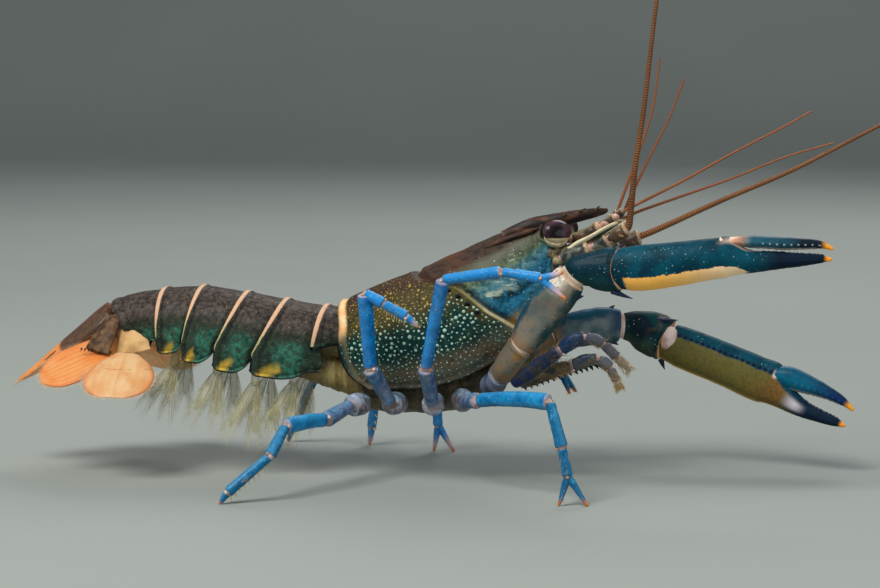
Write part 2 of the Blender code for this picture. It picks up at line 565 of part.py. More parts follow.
# Claws: stations of (point, half thickness, half height) for the arm, wrist, hand and moving finger
CLAWS = {
    "right": {
        "arm": (((9.9, -5.7, 17.7), 1.9, 1.9), ((11.3, -8.2, 18.5), 2.1, 2.1),
                ((12.6, -10.8, 20.4), 1.9, 2.0), ((14.0, -12.2, 22.2), 2.0, 2.3),
                ((16.4, -13.4, 25.6), 1.9, 2.5), ((17.2, -13.8, 26.6), 1.9, 2.4),
                ((19.4, -14.8, 29.8), 2.3, 3.3), ((22.2, -15.9, 33.6), 2.4, 3.5),
                ((24.9, -16.8, 37.0), 2.3, 3.3), ((26.2, -17.2, 38.6), 2.1, 2.8)),
        "wrist": (((26.6, -17.3, 39.1), 1.9, 2.3), ((27.3, -17.4, 39.75), 2.2, 2.6),
                  ((28.9, -17.5, 40.1), 2.4, 2.9), ((31.0, -17.6, 40.1), 2.6, 3.6),
                  ((33.2, -17.8, 40.2), 2.6, 3.85), ((34.6, -17.9, 40.3), 2.4, 3.6)),
        "hand": (((35.0, -17.9, 40.3), 2.4, 3.5), ((37.0, -17.9, 40.4), 2.7, 3.8),
                 ((41.0, -17.8, 40.8), 2.9, 3.85), ((46.0, -17.6, 41.5), 2.9, 3.65),
                 ((50.5, -17.3, 42.2), 2.7, 3.45), ((53.3, -17.1, 42.6), 2.4, 3.3)),
        "thumb": (((49.5, -17.4, 41.0), 1.9, 2.0), ((53.4, -17.1, 41.4), 2.1, 2.2),
                  ((56.8, -16.8, 41.7), 1.8, 1.95), ((61.8, -16.3, 42.0), 1.4, 1.4),
                  ((65.3, -15.9, 42.1), 1.05, 1.05), ((69.0, -15.5, 42.3), 0.6, 0.6),
                  ((70.6, -15.3, 42.3), 0.25, 0.25)),
        "finger": (((53.85, -17.1, 45.3), 1.5, 0.75), ((56.0, -17.0, 45.35), 1.6, 0.95),
                   ((59.0, -16.7, 45.3), 1.4, 0.95), ((62.4, -16.3, 45.1), 1.2, 1.0),
                   ((65.4, -15.9, 45.05), 0.95, 0.85), ((68.8, -15.5, 44.8), 0.6, 0.6),
                   ((70.8, -15.2, 44.0), 0.25, 0.25)),
        "wrist_spines": (((33.2, -18.2, 36.6), (36.9, -18.4, 35.2)),
                         ((33.0, -16.4, 43.2), (35.3, -15.6, 44.5))),
    },
    "left": {
        "arm": (((9.9, 5.7, 17.7), 1.9, 1.9), ((11.4, 7.8, 18.8), 2.1, 2.1), ((13.6, 9.6, 20.8), 1.9, 2.1),
                ((15.6, 10.8, 22.4), 2.0, 2.4), ((18.6, 12.2, 24.2), 1.9, 2.5),
                ((19.5, 12.6, 24.6), 1.9, 2.4), ((22.4, 13.8, 25.6), 2.3, 3.2),
                ((26.0, 15.1, 26.2), 2.4, 3.4), ((29.4, 16.3, 26.4), 2.3, 3.3),
                ((31.2, 16.9, 26.3), 2.1, 2.7)),
        "wrist": (((31.85, 17.1, 26.2), 1.9, 2.4), ((33.4, 17.6, 26.1), 2.3, 3.0),
                  ((36.0, 18.3, 25.2), 2.6, 4.0), ((38.4, 18.8, 24.2), 2.6, 4.2),
                  ((39.7, 18.9, 23.6), 2.4, 3.8)),
        "hand": (((40.3, 18.95, 23.1), 2.4, 3.5), ((42.4, 18.9, 22.3), 2.7, 3.8),
                 ((46.6, 18.6, 20.8), 2.9, 3.9), ((51.4, 18.1, 19.0), 2.9, 3.95),
                 ((56.1, 17.6, 17.1), 2.7, 4.1), ((59.3, 17.2, 16.0), 2.5, 4.0)),
        "thumb": (((55.0, 17.6, 15.9), 2.0, 1.9), ((60.0, 17.0, 13.6), 2.2, 2.2),
                  ((63.5, 16.3, 12.3), 1.8, 1.65), ((67.4, 15.3, 10.8), 1.3, 1.2),
                  ((70.8, 14.5, 9.7), 0.8, 0.8), ((73.0, 14.0, 9.0), 0.25, 0.25)),
        "finger": (((60.5, 16.9, 18.0), 1.9, 1.6), ((62.6, 16.5, 17.5), 1.9, 2.0),
                   ((65.4, 16.0, 16.6), 1.6, 1.75), ((69.5, 15.2, 15.1), 1.15, 1.15),
                   ((72.6, 14.5, 13.5), 0.7, 0.7), ((74.4, 14.1, 11.9), 0.25, 0.25)),
        "wrist_spines": (((38.6, 19.4, 20.0), (39.3, 19.6, 17.9)),
                         ((38.2, 17.6, 27.6), (42.0, 16.8, 27.6))),
    },
}


def up_of(stations):
    """The direction square to a limb's run that stands nearest to upright."""
    run = (Vector(stations[-1][0]) - Vector(stations[0][0])).normalized()
    return (Vector((0, 0, 1)) - run * run.z).normalized()


def tooth_row(stations, shares, edge, size, lean=0.0):
    """Low teeth along the upper (edge 1) or lower (edge -1) side of a limb, leaning towards the midline."""
    up = up_of(stations)
    points = [Vector(s[0]) for s in stations]
    inward = Vector((0, -math.copysign(1, points[0].y), 0))
    lengths = [0.0]
    for a, b in zip(points, points[1:]):
        lengths.append(lengths[-1] + (b - a).length)
    rows = [(d, *p, wide, high) for d, p, (_, wide, high) in zip(lengths, points, stations)]
    teeth = []
    for share in shares:
        x, y, z, wide, high = reading(rows, share * lengths[-1])
        out = (up * edge * math.cos(lean) * high + inward * math.sin(lean) * wide)
        foot = Vector((x, y, z)) + out * (1 - size * 1.1 / out.length)
        teeth.append(spike(foot, foot + out.normalized() * size * 2.0, size))
    return teeth


def make_claw(word, pieces):
    arm = tube(f"cheliped_arm_{word}", pieces["arm"], 12)
    end, _, high = pieces["arm"][-2]
    run = (Vector(end) - Vector(pieces["arm"][-4][0])).normalized()
    rise = (Vector((0, 0, 1)) - run * run.z).normalized()
    spurs = []
    for edge in (-1, 1):
        foot = Vector(end) + rise * edge * (high - 0.6)
        spurs.append(spike(foot, foot + rise * edge * 1.6 + run * 1.2, 0.7))
    finish(fuse(arm, spurs), "claw")
    wrist = tube(f"cheliped_wrist_{word}", pieces["wrist"], 12)
    spurs = [spike(foot, tip, 0.6) for foot, tip in pieces["wrist_spines"]]
    finish(fuse(wrist, spurs), "claw")
    hand = tube(f"cheliped_hand_{word}", pieces["hand"], 12)
    thumb = tube("thumb", pieces["thumb"], 10, up_of(pieces["thumb"]))
    knobs = tooth_row(pieces["hand"], np.linspace(0.12, 0.9, 8), 1, 0.42, 0.5)
    bites = tooth_row(pieces["thumb"], np.linspace(0.5, 0.88, 5), 1, 0.25)
    finish(fuse(hand, [thumb] + knobs + bites), "claw")
    finger = tube(f"cheliped_finger_{word}", pieces["finger"], 10)
    bites = tooth_row(pieces["finger"], np.linspace(0.34, 0.84, 5), -1, 0.25)
    finish(fuse(finger, bites), "claw")


# Third maxillipeds, right and left: stations of (point, half width, half height)
MAXILLIPEDS = {
    "right": (((14.0, -3.4, 17.9), 1.1, 1.2), ((15.8, -4.2, 19.1), 1.1, 1.5),
              ((19.0, -4.9, 21.6), 0.9, 1.6), ((21.9, -5.5, 23.8), 0.8, 1.3),
              ((22.9, -5.7, 24.5), 0.75, 1.0), ((25.6, -6.1, 26.4), 0.75, 1.1),
              ((27.3, -6.2, 26.9), 0.7, 0.85), ((29.6, -6.2, 26.3), 0.8, 0.9),
              ((30.6, -6.2, 25.7), 0.65, 0.75), ((33.0, -6.1, 23.4), 0.75, 0.8),
              ((34.0, -6.0, 22.3), 0.5, 0.6), ((35.4, -5.9, 20.8), 0.25, 0.25)),
    "left": (((14.0, 3.2, 17.0), 1.1, 1.2), ((16.2, 4.0, 17.7), 1.1, 1.5), ((19.4, 4.8, 19.0), 0.9, 1.6),
             ((22.5, 5.4, 19.8), 0.8, 1.3), ((23.6, 5.6, 20.1), 0.75, 1.0), ((26.6, 5.9, 21.2), 0.75, 1.1),
             ((28.2, 6.0, 21.4), 0.7, 0.85), ((29.8, 6.0, 20.6), 0.8, 0.9), ((30.5, 6.0, 19.8), 0.65, 0.75),
             ((31.8, 5.9, 17.4), 0.6, 0.65), ((32.4, 5.8, 15.8), 0.25, 0.25)),
}

# Antennules: joints of each base, then the points that its two whips pass
ANTENNULES = {
    "right": {
        "base": ((23.0, -1.7, 43.9), (26.0, -2.1, 44.6), (29.4, -2.5, 46.3), (32.0, -2.6, 48.0),
                 (33.3, -2.5, 49.0)),
        "outer": ((33.3, -2.5, 49.0), (35.3, -2.4, 50.1), (43.9, -3.0, 54.6), (53.0, -4.0, 59.8),
                  (61.8, -5.0, 64.5), (66.5, -5.4, 67.2)),
        "inner": ((33.9, -1.5, 48.0), (36.2, -1.4, 49.1), (43.8, -1.2, 51.9), (52.8, -1.0, 55.2),
                  (61.7, -1.0, 58.9), (70.2, -1.0, 61.5)),
    },
    "left": {
        "base": ((23.0, 1.7, 43.9), (26.0, 2.1, 44.5), (29.0, 2.5, 46.0), (31.0, 2.6, 47.4),
                 (31.9, 2.6, 48.5)),
        "outer": ((31.9, 2.6, 48.5), (32.4, 2.5, 50.0), (34.4, 2.3, 55.6), (37.0, 2.2, 63.0),
                  (38.4, 2.2, 68.4), (39.4, 2.2, 76.3)),
        "inner": ((33.0, 3.6, 48.5), (34.0, 3.6, 51.0), (35.5, 3.5, 54.1), (38.0, 3.4, 59.3),
                  (41.2, 3.2, 65.9), (43.7, 3.1, 72.6)),
    },
}
# Antennae: stations of the stalk, and the points that the long whip passes
ANTENNAE = {
    "right": {
        "stalk": (((22.4, -4.2, 40.3), 1.5, 1.5), ((24.2, -5.2, 41.2), 1.9, 1.8),
                  ((28.0, -5.9, 42.7), 1.8, 1.6), ((30.2, -6.1, 43.6), 1.5, 1.3),
                  ((31.2, -6.2, 44.2), 1.3, 1.15), ((33.2, -6.4, 45.4), 1.4, 1.35),
                  ((34.5, -6.5, 46.2), 1.1, 1.1)),
        "whip": ((34.95, -6.6, 46.9), (35.3, -6.7, 50.0), (36.1, -7.0, 58.0), (37.4, -7.2, 66.9),
                 (38.4, -7.3, 75.8), (39.6, -7.4, 86.4), (41.6, -7.6, 100.0), (44.8, -8.0, 114.0),
                 (49.4, -8.6, 127.0)),
    },
    "left": {
        "stalk": (((22.4, 4.2, 39.9), 1.5, 1.5), ((24.4, 5.0, 40.6), 1.9, 1.8),
                  ((28.4, 5.7, 41.6), 1.8, 1.6), ((30.8, 6.0, 42.3), 1.5, 1.3),
                  ((31.8, 6.1, 42.6), 1.3, 1.15), ((34.0, 6.3, 43.4), 1.4, 1.35),
                  ((35.5, 6.4, 43.9), 1.1, 1.1)),
        "whip": ((35.95, 6.45, 44.1), (39.5, 6.8, 45.6), (50.5, 8.0, 50.7), (63.2, 9.4, 56.3),
                 (78.2, 11.2, 64.2), (90.0, 12.8, 70.0), (101.0, 14.6, 74.4), (113.0, 16.8, 77.6)),
    },
}


def whip(name, points, start, end, count, sides=5):
    """A feeler that thins evenly from its root to its tip."""
    places = curve_points(points, count)
    sizes = np.linspace(start, end, count)
    return tube(name, [(p, r, r) for p, r in zip(places, sizes)], sides, (0.1, 1, 0.2))


ANTENNA_SCALE = ((0, 0.9, 0.8), (0.2, 1.6, 0.8), (0.5, 1.8, 0.7), (0.75, 1.4, 0.6), (0.93, 0.7, 0.55),
                 (1, 0.3, 0.5))


def make_feelers():
    for word, side in (("right", -1), ("left", 1)):
        stalk = tube(f"antenna_base_{word}", ANTENNAE[word]["stalk"], 10)
        heel = Vector(ANTENNAE[word]["stalk"][1][0]) + Vector((0.2, side * 0.6, 1.2))
        scale = blade("scale", heel, (0.86, side * 0.05, 0.5), (0, 1, 0), 10.6, ANTENNA_SCALE, steps=3)
        finish(fuse(stalk, [scale]), "feeler")
        finish(whip(f"antenna_{word}", ANTENNAE[word]["whip"], 0.62, 0.24, 17, 6), "feeler")
        joints = ANTENNULES[word]["base"]
        sizes = (0.85, 1.0, 0.95, 0.8, 0.62)
        base = tube(f"antennule_{word}", [(p, r, r) for p, r in zip(joints, sizes)], 8)
        outer = whip("outer", ANTENNULES[word]["outer"], 0.36, 0.22, 9)
        finish(fuse(base, [outer]), "feeler")
        finish(whip(f"antennule_inner_{word}", ANTENNULES[word]["inner"], 0.34, 0.22, 9), "feeler")


# Cornea: distance from the stalk, radius
EYE_DOME = ((0, 1.6), (0.45, 1.75), (0.95, 1.65), (1.4, 1.25), (1.7, 0.75), (1.82, 0.3))


def make_eyes():
    for word, side in (("right", -1), ("left", 1)):
        heel = Vector((20.9, side * 3.4, 44.55))
        head = Vector((22.2, side * 5.2, 45.55))
        run = (head - heel).normalized()
        stalk = [(heel, 0.9, 0.8), (heel.lerp(head, 0.5), 1.3, 1.15), (head, 1.9, 1.4)]
        finish(tube(f"eyestalk_{word}", stalk, 10, (0, 0, 1)), "stalk")
        start = head + run * GAP
        dome = [(start + run * d, r * 1.25, r) for d, r in EYE_DOME]
        finish(tube(f"eye_{word}", dome, 12, (0, 0, 1)), "eye")


def make_maxillipeds():
    for word, stations in MAXILLIPEDS.items():
        finish(tube(f"maxilliped_{word}", stations, 8), "mouthpart")


clear_scene()
model = bpy.data.collections.new("cherax_crayfish")
bpy.context.scene.collection.children.link(model)
make_head()
make_thorax()
make_underside()
make_abdomen()
make_fan()
make_swimmerets()
for leg_name, leg_joints in LEGS.items():
    make_leg(leg_name, leg_joints)
for claw_side, claw_pieces in CLAWS.items():
    make_claw(claw_side, claw_pieces)
make_maxillipeds()
make_feelers()
make_eyes()
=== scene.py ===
import itertools
import math

import bmesh
import bpy
import numpy as np
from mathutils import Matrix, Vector


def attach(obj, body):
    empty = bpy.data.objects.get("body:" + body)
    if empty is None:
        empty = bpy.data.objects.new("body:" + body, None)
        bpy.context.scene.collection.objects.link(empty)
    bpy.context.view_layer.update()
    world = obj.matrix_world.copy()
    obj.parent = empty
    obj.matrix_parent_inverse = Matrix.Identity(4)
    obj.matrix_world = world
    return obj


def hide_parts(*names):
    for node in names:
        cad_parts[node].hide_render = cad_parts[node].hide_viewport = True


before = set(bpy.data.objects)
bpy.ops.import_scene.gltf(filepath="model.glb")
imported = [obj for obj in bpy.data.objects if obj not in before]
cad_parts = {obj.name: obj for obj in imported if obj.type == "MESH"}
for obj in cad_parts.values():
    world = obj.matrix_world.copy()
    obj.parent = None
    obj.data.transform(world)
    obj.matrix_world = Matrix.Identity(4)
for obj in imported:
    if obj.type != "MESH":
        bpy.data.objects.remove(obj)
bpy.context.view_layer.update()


# Rear half of the carapace: a thin, stiff shield of chalky shell over the gills, brown on the back and bottle
# green with pale granules on the flanks. It is one moulded piece, rolled over at its rear and lower rims.
# Lengths are in millimetres until a mesh is made, in the frame of the part before its middle is taken off.
MM = 0.001
MIDDLE = np.array((16.1, -0.6, 0.0))
LEFT = np.array((0.0, 1.0, 0.0))
UP = np.array((0.0, 0.0, 1.0))
BACK_START = np.array((-18.4, 0.0, 31.7))
PITCH = math.radians(22.7)
AHEAD = np.array((math.cos(PITCH), 0.0, math.sin(PITCH)))
RISE = np.array((-math.sin(PITCH), 0.0, math.cos(PITCH)))
# ahead, half width, rise of the back, of the widest place and of the lower edge, half width at that edge
CARAPACE = ((-3.0, 7.4, -0.6, -8.2, -15.2, 5.6), (0.0, 8.2, 0.0, -8.6, -16.4, 6.0),
            (5.0, 9.6, 0.3, -9.4, -18.2, 6.6), (11.0, 10.5, 0.4, -10.2, -20.1, 7.2),
            (16.0, 10.3, 0.1, -10.2, -20.7, 7.0), (21.0, 9.7, 0.4, -9.8, -20.6, 6.5),
            (26.0, 9.0, 0.5, -9.0, -19.6, 5.8), (31.0, 8.0, 0.7, -7.8, -17.6, 5.0),
            (36.0, 6.6, 0.5, -6.2, -14.2, 4.2), (40.0, 5.4, 0.0, -5.0, -10.6, 3.6),
            (42.0, 4.8, -0.4, -4.6, -9.2, 3.2))
# Share of the depth below the back, and how far ahead each margin of the shell lies there
REAR_MARGIN = ((0.0, 0.0), (0.25, -0.6), (0.4, -1.7), (0.62, -2.4), (0.83, -2.0), (0.93, -1.0), (1.0, 0.6))
NECK_GROOVE = ((0.0, 15.6), (0.13, 18.6), (0.27, 22.9), (0.4, 24.6), (0.58, 26.5), (0.79, 29.0),
               (1.0, 31.0))


def reading(table, x):
    """The columns of a table at x, read along smooth curves through its rows."""
    rows = np.array(table, float)
    marks = rows[:, 0]
    sizes = rows[:, 1:]
    x = np.clip(np.asarray(x, float), marks[0], marks[-1])
    i = np.clip(np.searchsorted(marks, x) - 1, 0, len(marks) - 2)
    slopes = np.gradient(sizes, marks, axis=0)
    span = (marks[i + 1] - marks[i])[..., None]
    f = (x - marks[i])[..., None] / span
    value = (
        (2 * f**3 - 3 * f**2 + 1) * sizes[i]
        + (f**3 - 2 * f**2 + f) * span * slopes[i]
        + (3 * f**2 - 2 * f**3) * sizes[i + 1]
        + (f**3 - f**2) * span * slopes[i + 1]
    )
    return value[..., 0] if value.shape[-1] == 1 else np.moveaxis(value, -1, 0)


def at(base, *steps):
    """A grid of points: a base plus (direction, distance) steps."""
    total = np.array(base, float)
    for direction, distance in steps:
        total = total + np.asarray(distance)[..., None] * np.asarray(direction)
    return total


def in_body(ahead, left, rise):
    return at(BACK_START, (AHEAD, ahead), (LEFT, left), (RISE, rise))


def shell_section(ahead, t):
    """Half width and rise of the carapace at t, from 0 on the back to 1 at the lower edge."""
    half, top, widest, bottom, foot = reading(CARAPACE, ahead)
    turn = np.pi * np.minimum(t, 0.5)
    fall = np.pi * np.maximum(t - 0.5, 0)
    wide = np.where(t <= 0.5, half * np.sin(turn) ** 0.9, half - (half - foot) * (1 - np.cos(fall)))
    rise = np.where(t <= 0.5, widest + (top - widest) * np.maximum(np.cos(turn), 0) ** 0.9,
                    widest - (widest - bottom) * np.sin(fall))
    return wide, rise


def margin(table, t):
    """How far ahead a margin of the carapace lies at t."""
    ahead = np.full(np.shape(t), table[0][1])
    for _ in range(4):
        _, rise = shell_section(ahead, t)
        _, top, _, bottom, _ = reading(CARAPACE, ahead)
        ahead = reading(table, (top - rise) / (top - bottom))
    return ahead


def bump_at(distance, reach):
    return np.exp(-((distance / reach) ** 2))


def ripple(points, size, seed):
    """A smooth uneven field of about -1 to 1 whose waves are some size long."""
    draw = np.random.default_rng(seed)
    total = 0.0
    for _ in range(7):
        way = draw.normal(size=3)
        way = way / np.linalg.norm(way) / (size * draw.uniform(0.7, 1.5))
        total = total + np.sin(2 * np.pi * (points @ way + draw.uniform()))
    return total / 4


def outward(grid, inside):
    """Unit normals of a grid of points that point away from the inside."""
    across = np.gradient(grid, axis=1)
    along = np.gradient(grid, axis=0)
    normal = np.cross(across, along)
    normal /= np.maximum(np.linalg.norm(normal, axis=-1, keepdims=True), 1e-9)
    facing = np.sum(normal * (grid - inside), axis=-1).mean()
    return normal if facing > 0 else -normal


def ring_normal(grid):
    """Outward unit normals of rings of points."""
    normal = np.cross(np.roll(grid, -1, axis=1) - np.roll(grid, 1, axis=1), np.gradient(grid, axis=0))
    normal /= np.maximum(np.linalg.norm(normal, axis=-1, keepdims=True), 1e-9)
    facing = np.sum(normal * (grid - grid.mean(axis=1, keepdims=True)), axis=-1).mean()
    return normal if facing > 0 else -normal


def placed(name, data):
    """Puts a mesh, lamp or camera in the scene, at the origin."""
    piece = bpy.data.objects.new(name, data)
    bpy.context.scene.collection.objects.link(piece)
    return piece


class Shape:
    """A piece under construction: grids of points joined by faces, with the marks its paint reads."""

    def __init__(self, name):
        self.name = name
        self.points = []
        self.faces = []
        self.marks = []
        self.count = 0

    def add(self, points, faces, **marks):
        points = np.asarray(points, float).reshape(-1, 3)
        self.faces.extend((np.asarray(face) + self.count).tolist() for face in faces)
        self.points.append(points)
        spread = {key: np.broadcast_to(value, (len(points),)) for key, value in marks.items()}
        self.marks.append((len(points), spread))
        self.count += len(points)

    def grid(self, grid, wrap=False, caps=False, **marks):
        """Four-sided faces over a grid; wrap closes its rows into rings and caps closes its ends."""
        rows, columns = grid.shape[:2]
        number = np.arange(rows * columns).reshape(rows, columns)
        ring = np.column_stack((number, number[:, 0])) if wrap else number
        quads = np.stack((ring[:-1, :-1], ring[:-1, 1:], ring[1:, 1:], ring[1:, :-1]), -1).reshape(-1, 4)
        faces = [quads]
        points = grid.reshape(-1, 3)
        spread = {key: np.broadcast_to(value, (rows, columns)).reshape(-1) for key, value in marks.items()}
        if caps:
            for row in (number[0], number[-1]):
                hub = len(points)
                points = np.vstack((points, points[row].mean(axis=0)))
                spread = {key: np.append(value, value[row].mean()) for key, value in spread.items()}
                faces.append(np.column_stack((row, np.roll(row, -1), np.full(len(row), hub))))
        self.add(points, [face for block in faces for face in block], **spread)

    def tube(self, grid, swell=None, **marks):
        """A closed tube of rings, which may be swollen outwards."""
        if swell is not None:
            grid = grid + ring_normal(grid) * swell[..., None]
        self.grid(grid, wrap=True, caps=True, **marks)

    def wall(self, grid, normal, thickness, **marks):
        """A thin closed wall whose outside is the grid."""
        rows, columns = grid.shape[:2]
        within = grid - normal * np.asarray(thickness)[..., None]
        number = np.arange(rows * columns).reshape(rows, columns)
        quads = np.stack((number[:-1, :-1], number[:-1, 1:], number[1:, 1:], number[1:, :-1]), -1)
        outer = quads.reshape(-1, 4)
        inner = outer[:, ::-1] + rows * columns
        edge = np.concatenate((number[0, :-1], number[:-1, -1], number[-1, :0:-1], number[:0:-1, 0]))
        after = np.roll(edge, -1)
        rim = np.column_stack((edge, after, after + rows * columns, edge + rows * columns))
        spread = {key: np.tile(np.broadcast_to(value, (rows, columns)).reshape(-1), 2)
                  for key, value in marks.items()}
        spread["within"] = np.repeat((0.0, 1.0), rows * columns)
        self.add(np.concatenate((grid.reshape(-1, 3), within.reshape(-1, 3))), [*outer, *inner, *rim],
                 **spread)

    def build(self, paint=None, sharp=50):
        points = (np.concatenate(self.points) - MIDDLE) * MM
        data = bpy.data.meshes.new(self.name)
        data.from_pydata(points.tolist(), [], self.faces)
        for key in sorted({key for _, spread in self.marks for key in spread}):
            values = np.concatenate([spread.get(key, np.zeros(count)) for count, spread in self.marks])
            data.attributes.new(key, "FLOAT", "POINT").data.foreach_set("value", values.astype(np.float32))
        mesh = bmesh.new()
        mesh.from_mesh(data)
        bmesh.ops.recalc_face_normals(mesh, faces=mesh.faces)
        mesh.to_mesh(data)
        mesh.free()
        data.shade_smooth()
        data.set_sharp_from_angle(angle=math.radians(sharp))
        if paint:
            data.materials.append(paint)
        return placed(self.name, data)


def fit(piece, slot, *nodes):
    """Every piece rides on the one body and stands for its nodes; its slot is not used."""
    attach(piece, "root")
    if nodes:
        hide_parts(*nodes)
    return piece


class Link:
    """An output of a shader node that takes part in arithmetic with numbers and other links."""

    def __init__(self, paint, socket):
        self.paint = paint
        self.socket = socket

    def math(self, operation, *values):
        return self.paint.node("ShaderNodeMath", {"operation": operation}, dict(enumerate(values)))[0]

    def __add__(self, other):
        return self.math("ADD", self, other)

    def __sub__(self, other):
        return self.math("SUBTRACT", self, other)

    def __rsub__(self, other):
        return self.math("SUBTRACT", other, self)

    def __mul__(self, other):
        return self.math("MULTIPLY", self, other)

    def __truediv__(self, other):
        return self.math("DIVIDE", self, other)

    def __pow__(self, other):
        return self.math("POWER", self, other)

    def __abs__(self):
        return self.math("ABSOLUTE", self)

    __radd__ = __add__
    __rmul__ = __mul__

    def sine(self):
        return self.math("SINE", self)

    def most(self, other):
        return self.math("MAXIMUM", self, other)

    def step(self, low, high):
        """0 below low and 1 above high, with an eased slope between them."""
        ends = {"Value": self, "From Min": low, "From Max": high}
        return self.paint.node("ShaderNodeMapRange", {"interpolation_type": "SMOOTHSTEP"}, ends)[0]

    def fade(self, low, high):
        """1 below low and 0 above high."""
        return 1 - self.step(low, high)

    def sway(self, reach):
        """A noise turned into a push either way, a reach wide in all."""
        return (self - 0.5) * reach

    def blend(self, low, high, first, second):
        """The first colour below low, the second above high."""
        return self.paint.mix(self.step(low, high), first, second)

    def near(self, place, reach):
        """1 at a place, falling to 0 at the reach on either side."""
        return abs(self - place).fade(0.0, reach)


def shade(red, green, blue):
    """A colour given as its red, green and blue on a screen, out of 255."""
    parts = [c / 255 for c in (red, green, blue)]
    return (*[c / 12.92 if c < 0.04045 else ((c + 0.055) / 1.055) ** 2.4 for c in parts], 1.0)


class Paint:
    """A finish under construction, with places on the piece in millimetres."""

    def __init__(self, name):
        self.material = bpy.data.materials.new(name)
        self.material.use_nodes = True
        self.tree = self.material.node_tree
        self.shader = self.tree.nodes["Principled BSDF"]
        where = self.node("ShaderNodeTexCoord")[3]
        self.place = self.node("ShaderNodeVectorMath", {"operation": "SCALE"}, {0: where, "Scale": 1 / MM})[0]

    def node(self, kind, settings=None, sockets=None):
        made = self.tree.nodes.new(kind)
        for key, value in (settings or {}).items():
            setattr(made, key, value)
        self.feed(made, sockets or {})
        return [Link(self, socket) for socket in made.outputs]

    def feed(self, node, sockets):
        for key, value in sockets.items():
            socket = node.inputs[key]
            if isinstance(value, Link):
                self.tree.links.new(value.socket, socket)
            else:
                socket.default_value = shade(*value) if socket.type == "RGBA" else value

    def mark(self, name):
        return self.node("ShaderNodeAttribute", {"attribute_name": name})[2]

    def marks(self, *names):
        return [self.mark(name) for name in names]

    def noise(self, size, detail=4, stretch=None):
        """Cloudy variation around 0.5 whose patches are about a size across."""
        place = self.place
        if stretch:
            place = self.node("ShaderNodeVectorMath", {"operation": "MULTIPLY"}, {0: place, 1: stretch})[0]
        sockets = {"Vector": place, "Scale": 1 / size, "Detail": detail}
        return self.node("ShaderNodeTexNoise", None, sockets)[0]

    def dots(self, spacing, radius, share=1.0, jitter=1.0):
        """Round dots with soft rims on a share of the places that are a spacing apart."""
        sockets = {"Vector": self.place, "Scale": 1 / spacing, "Randomness": jitter}
        distance, tint, _ = self.node("ShaderNodeTexVoronoi", None, sockets)[:3]
        chosen = self.node("ShaderNodeSeparateColor", None, {0: tint})[0]
        size = radius / spacing
        return distance.fade(size * 0.6, size * 1.15) * chosen.fade(share - 0.01, share)

    def mix(self, share, first, second):
        sockets = {0: share, 6: first, 7: second}
        return self.node("ShaderNodeMix", {"data_type": "RGBA"}, sockets)[2]

    def lay(self, share, colour):
        """Lays a share of another colour over the colour so far."""
        self.colour = self.mix(share, self.colour, colour)

    def bump(self, height, depth):
        """A normal from a height of 0 to 1, over a depth in millimetres."""
        return self.node("ShaderNodeBump", None, {"Height": height, "Distance": depth * MM})[0]

    def finish(self, roughness, normal=None, **sockets):
        values = {"Base Color": self.colour, "Roughness": roughness, "Specular IOR Level": 0.09,
                  "Coat Roughness": 0.3}
        if normal:
            values["Normal"] = normal
        values.update({key.replace("_", " "): value for key, value in sockets.items()})
        self.feed(self.shader, values)
        return self.material


BROWN = (66, 50, 38)
DARK_BROWN = (40, 32, 30)
OLIVE = (72, 66, 30)
BOTTLE = (10, 50, 48)
SLATE = (88, 95, 82)
CREAM = (234, 206, 160)
TAN = (234, 166, 98)
GOLD = (190, 160, 70)
PALE_DOT = (176, 208, 194)
INK = (14, 16, 22)


def thorax_paint():
    paint = Paint("thorax_shell")
    depth, rear, groove = paint.marks("depth", "rear", "groove")
    cloud = paint.noise(6.0)
    grain = paint.noise(1.1, 5)
    level = depth + cloud.sway(0.22)
    paint.colour = level.blend(0.04, 0.2, BROWN, OLIVE)
    paint.lay(level.step(0.3, 0.48), BOTTLE)
    paint.lay(level.step(0.66, 0.86), paint.mix(paint.noise(2.6, 5).step(0.4, 0.6), SLATE, (96, 84, 66)))
    paint.lay((grain.step(0.5, 0.75)) * 0.7, DARK_BROWN)
    veins = abs(paint.noise(2.2, 5) - 0.5)
    paint.lay(veins.fade(0.0, 0.035) * level.fade(0.3, 0.6) * 0.5, (34, 26, 22))
    gold = paint.dots(1.05, 0.24, 0.6).most(paint.dots(0.6, 0.14, 0.5)) * level.step(0.02, 0.1)
    paint.lay(gold * level.fade(0.34, 0.5) * 0.85, GOLD)
    small = paint.dots(0.6, 0.13, 0.7) * level.step(0.26, 0.38) * level.fade(0.8, 0.95)
    paint.lay(small * 0.5, PALE_DOT)
    haze = (paint.noise(1.9, 5)).step(0.5, 0.68) * level.step(0.3, 0.45) * level.fade(0.7, 0.85)
    paint.lay(haze * 0.5, (58, 74, 44))
    behind = (0 - groove).step(0.2, 1.1) * (0 - groove).fade(1.7, 3.4)
    paint.lay(behind * depth.fade(0.6, 0.75) * depth.step(0.12, 0.3) * 0.8, OLIVE)
    lip = (0 - groove).near(0.35, 0.5) * depth.step(0.2, 0.35) * (0.4 + grain * 0.7)
    lip = lip * paint.mark("lower").step(1.0, 2.5)
    paint.lay(lip, depth.blend(0.4, 0.6, (150, 136, 92), (216, 200, 150)))
    band = rear.near(1.0, 0.95) ** 0.6 * level.fade(0.26, 0.46)
    paint.lay(band, cloud.blend(0.35, 0.6, TAN, CREAM))
    rim = rear.fade(0.25, 0.6).most(1 - paint.mark("lower").step(0.2, 0.5)) * depth.step(0.3, 0.45)
    paint.lay(rim, INK)
    pale = rear.near(1.4, 0.8) * depth.step(0.3, 0.42)
    paint.lay(pale * 0.6, (112, 104, 78))
    pits = paint.dots(0.45, 0.16)
    height = grain * 0.5 - pits * 0.5
    return paint.finish(0.42 + 0.2 * grain, paint.bump(height, 0.06))


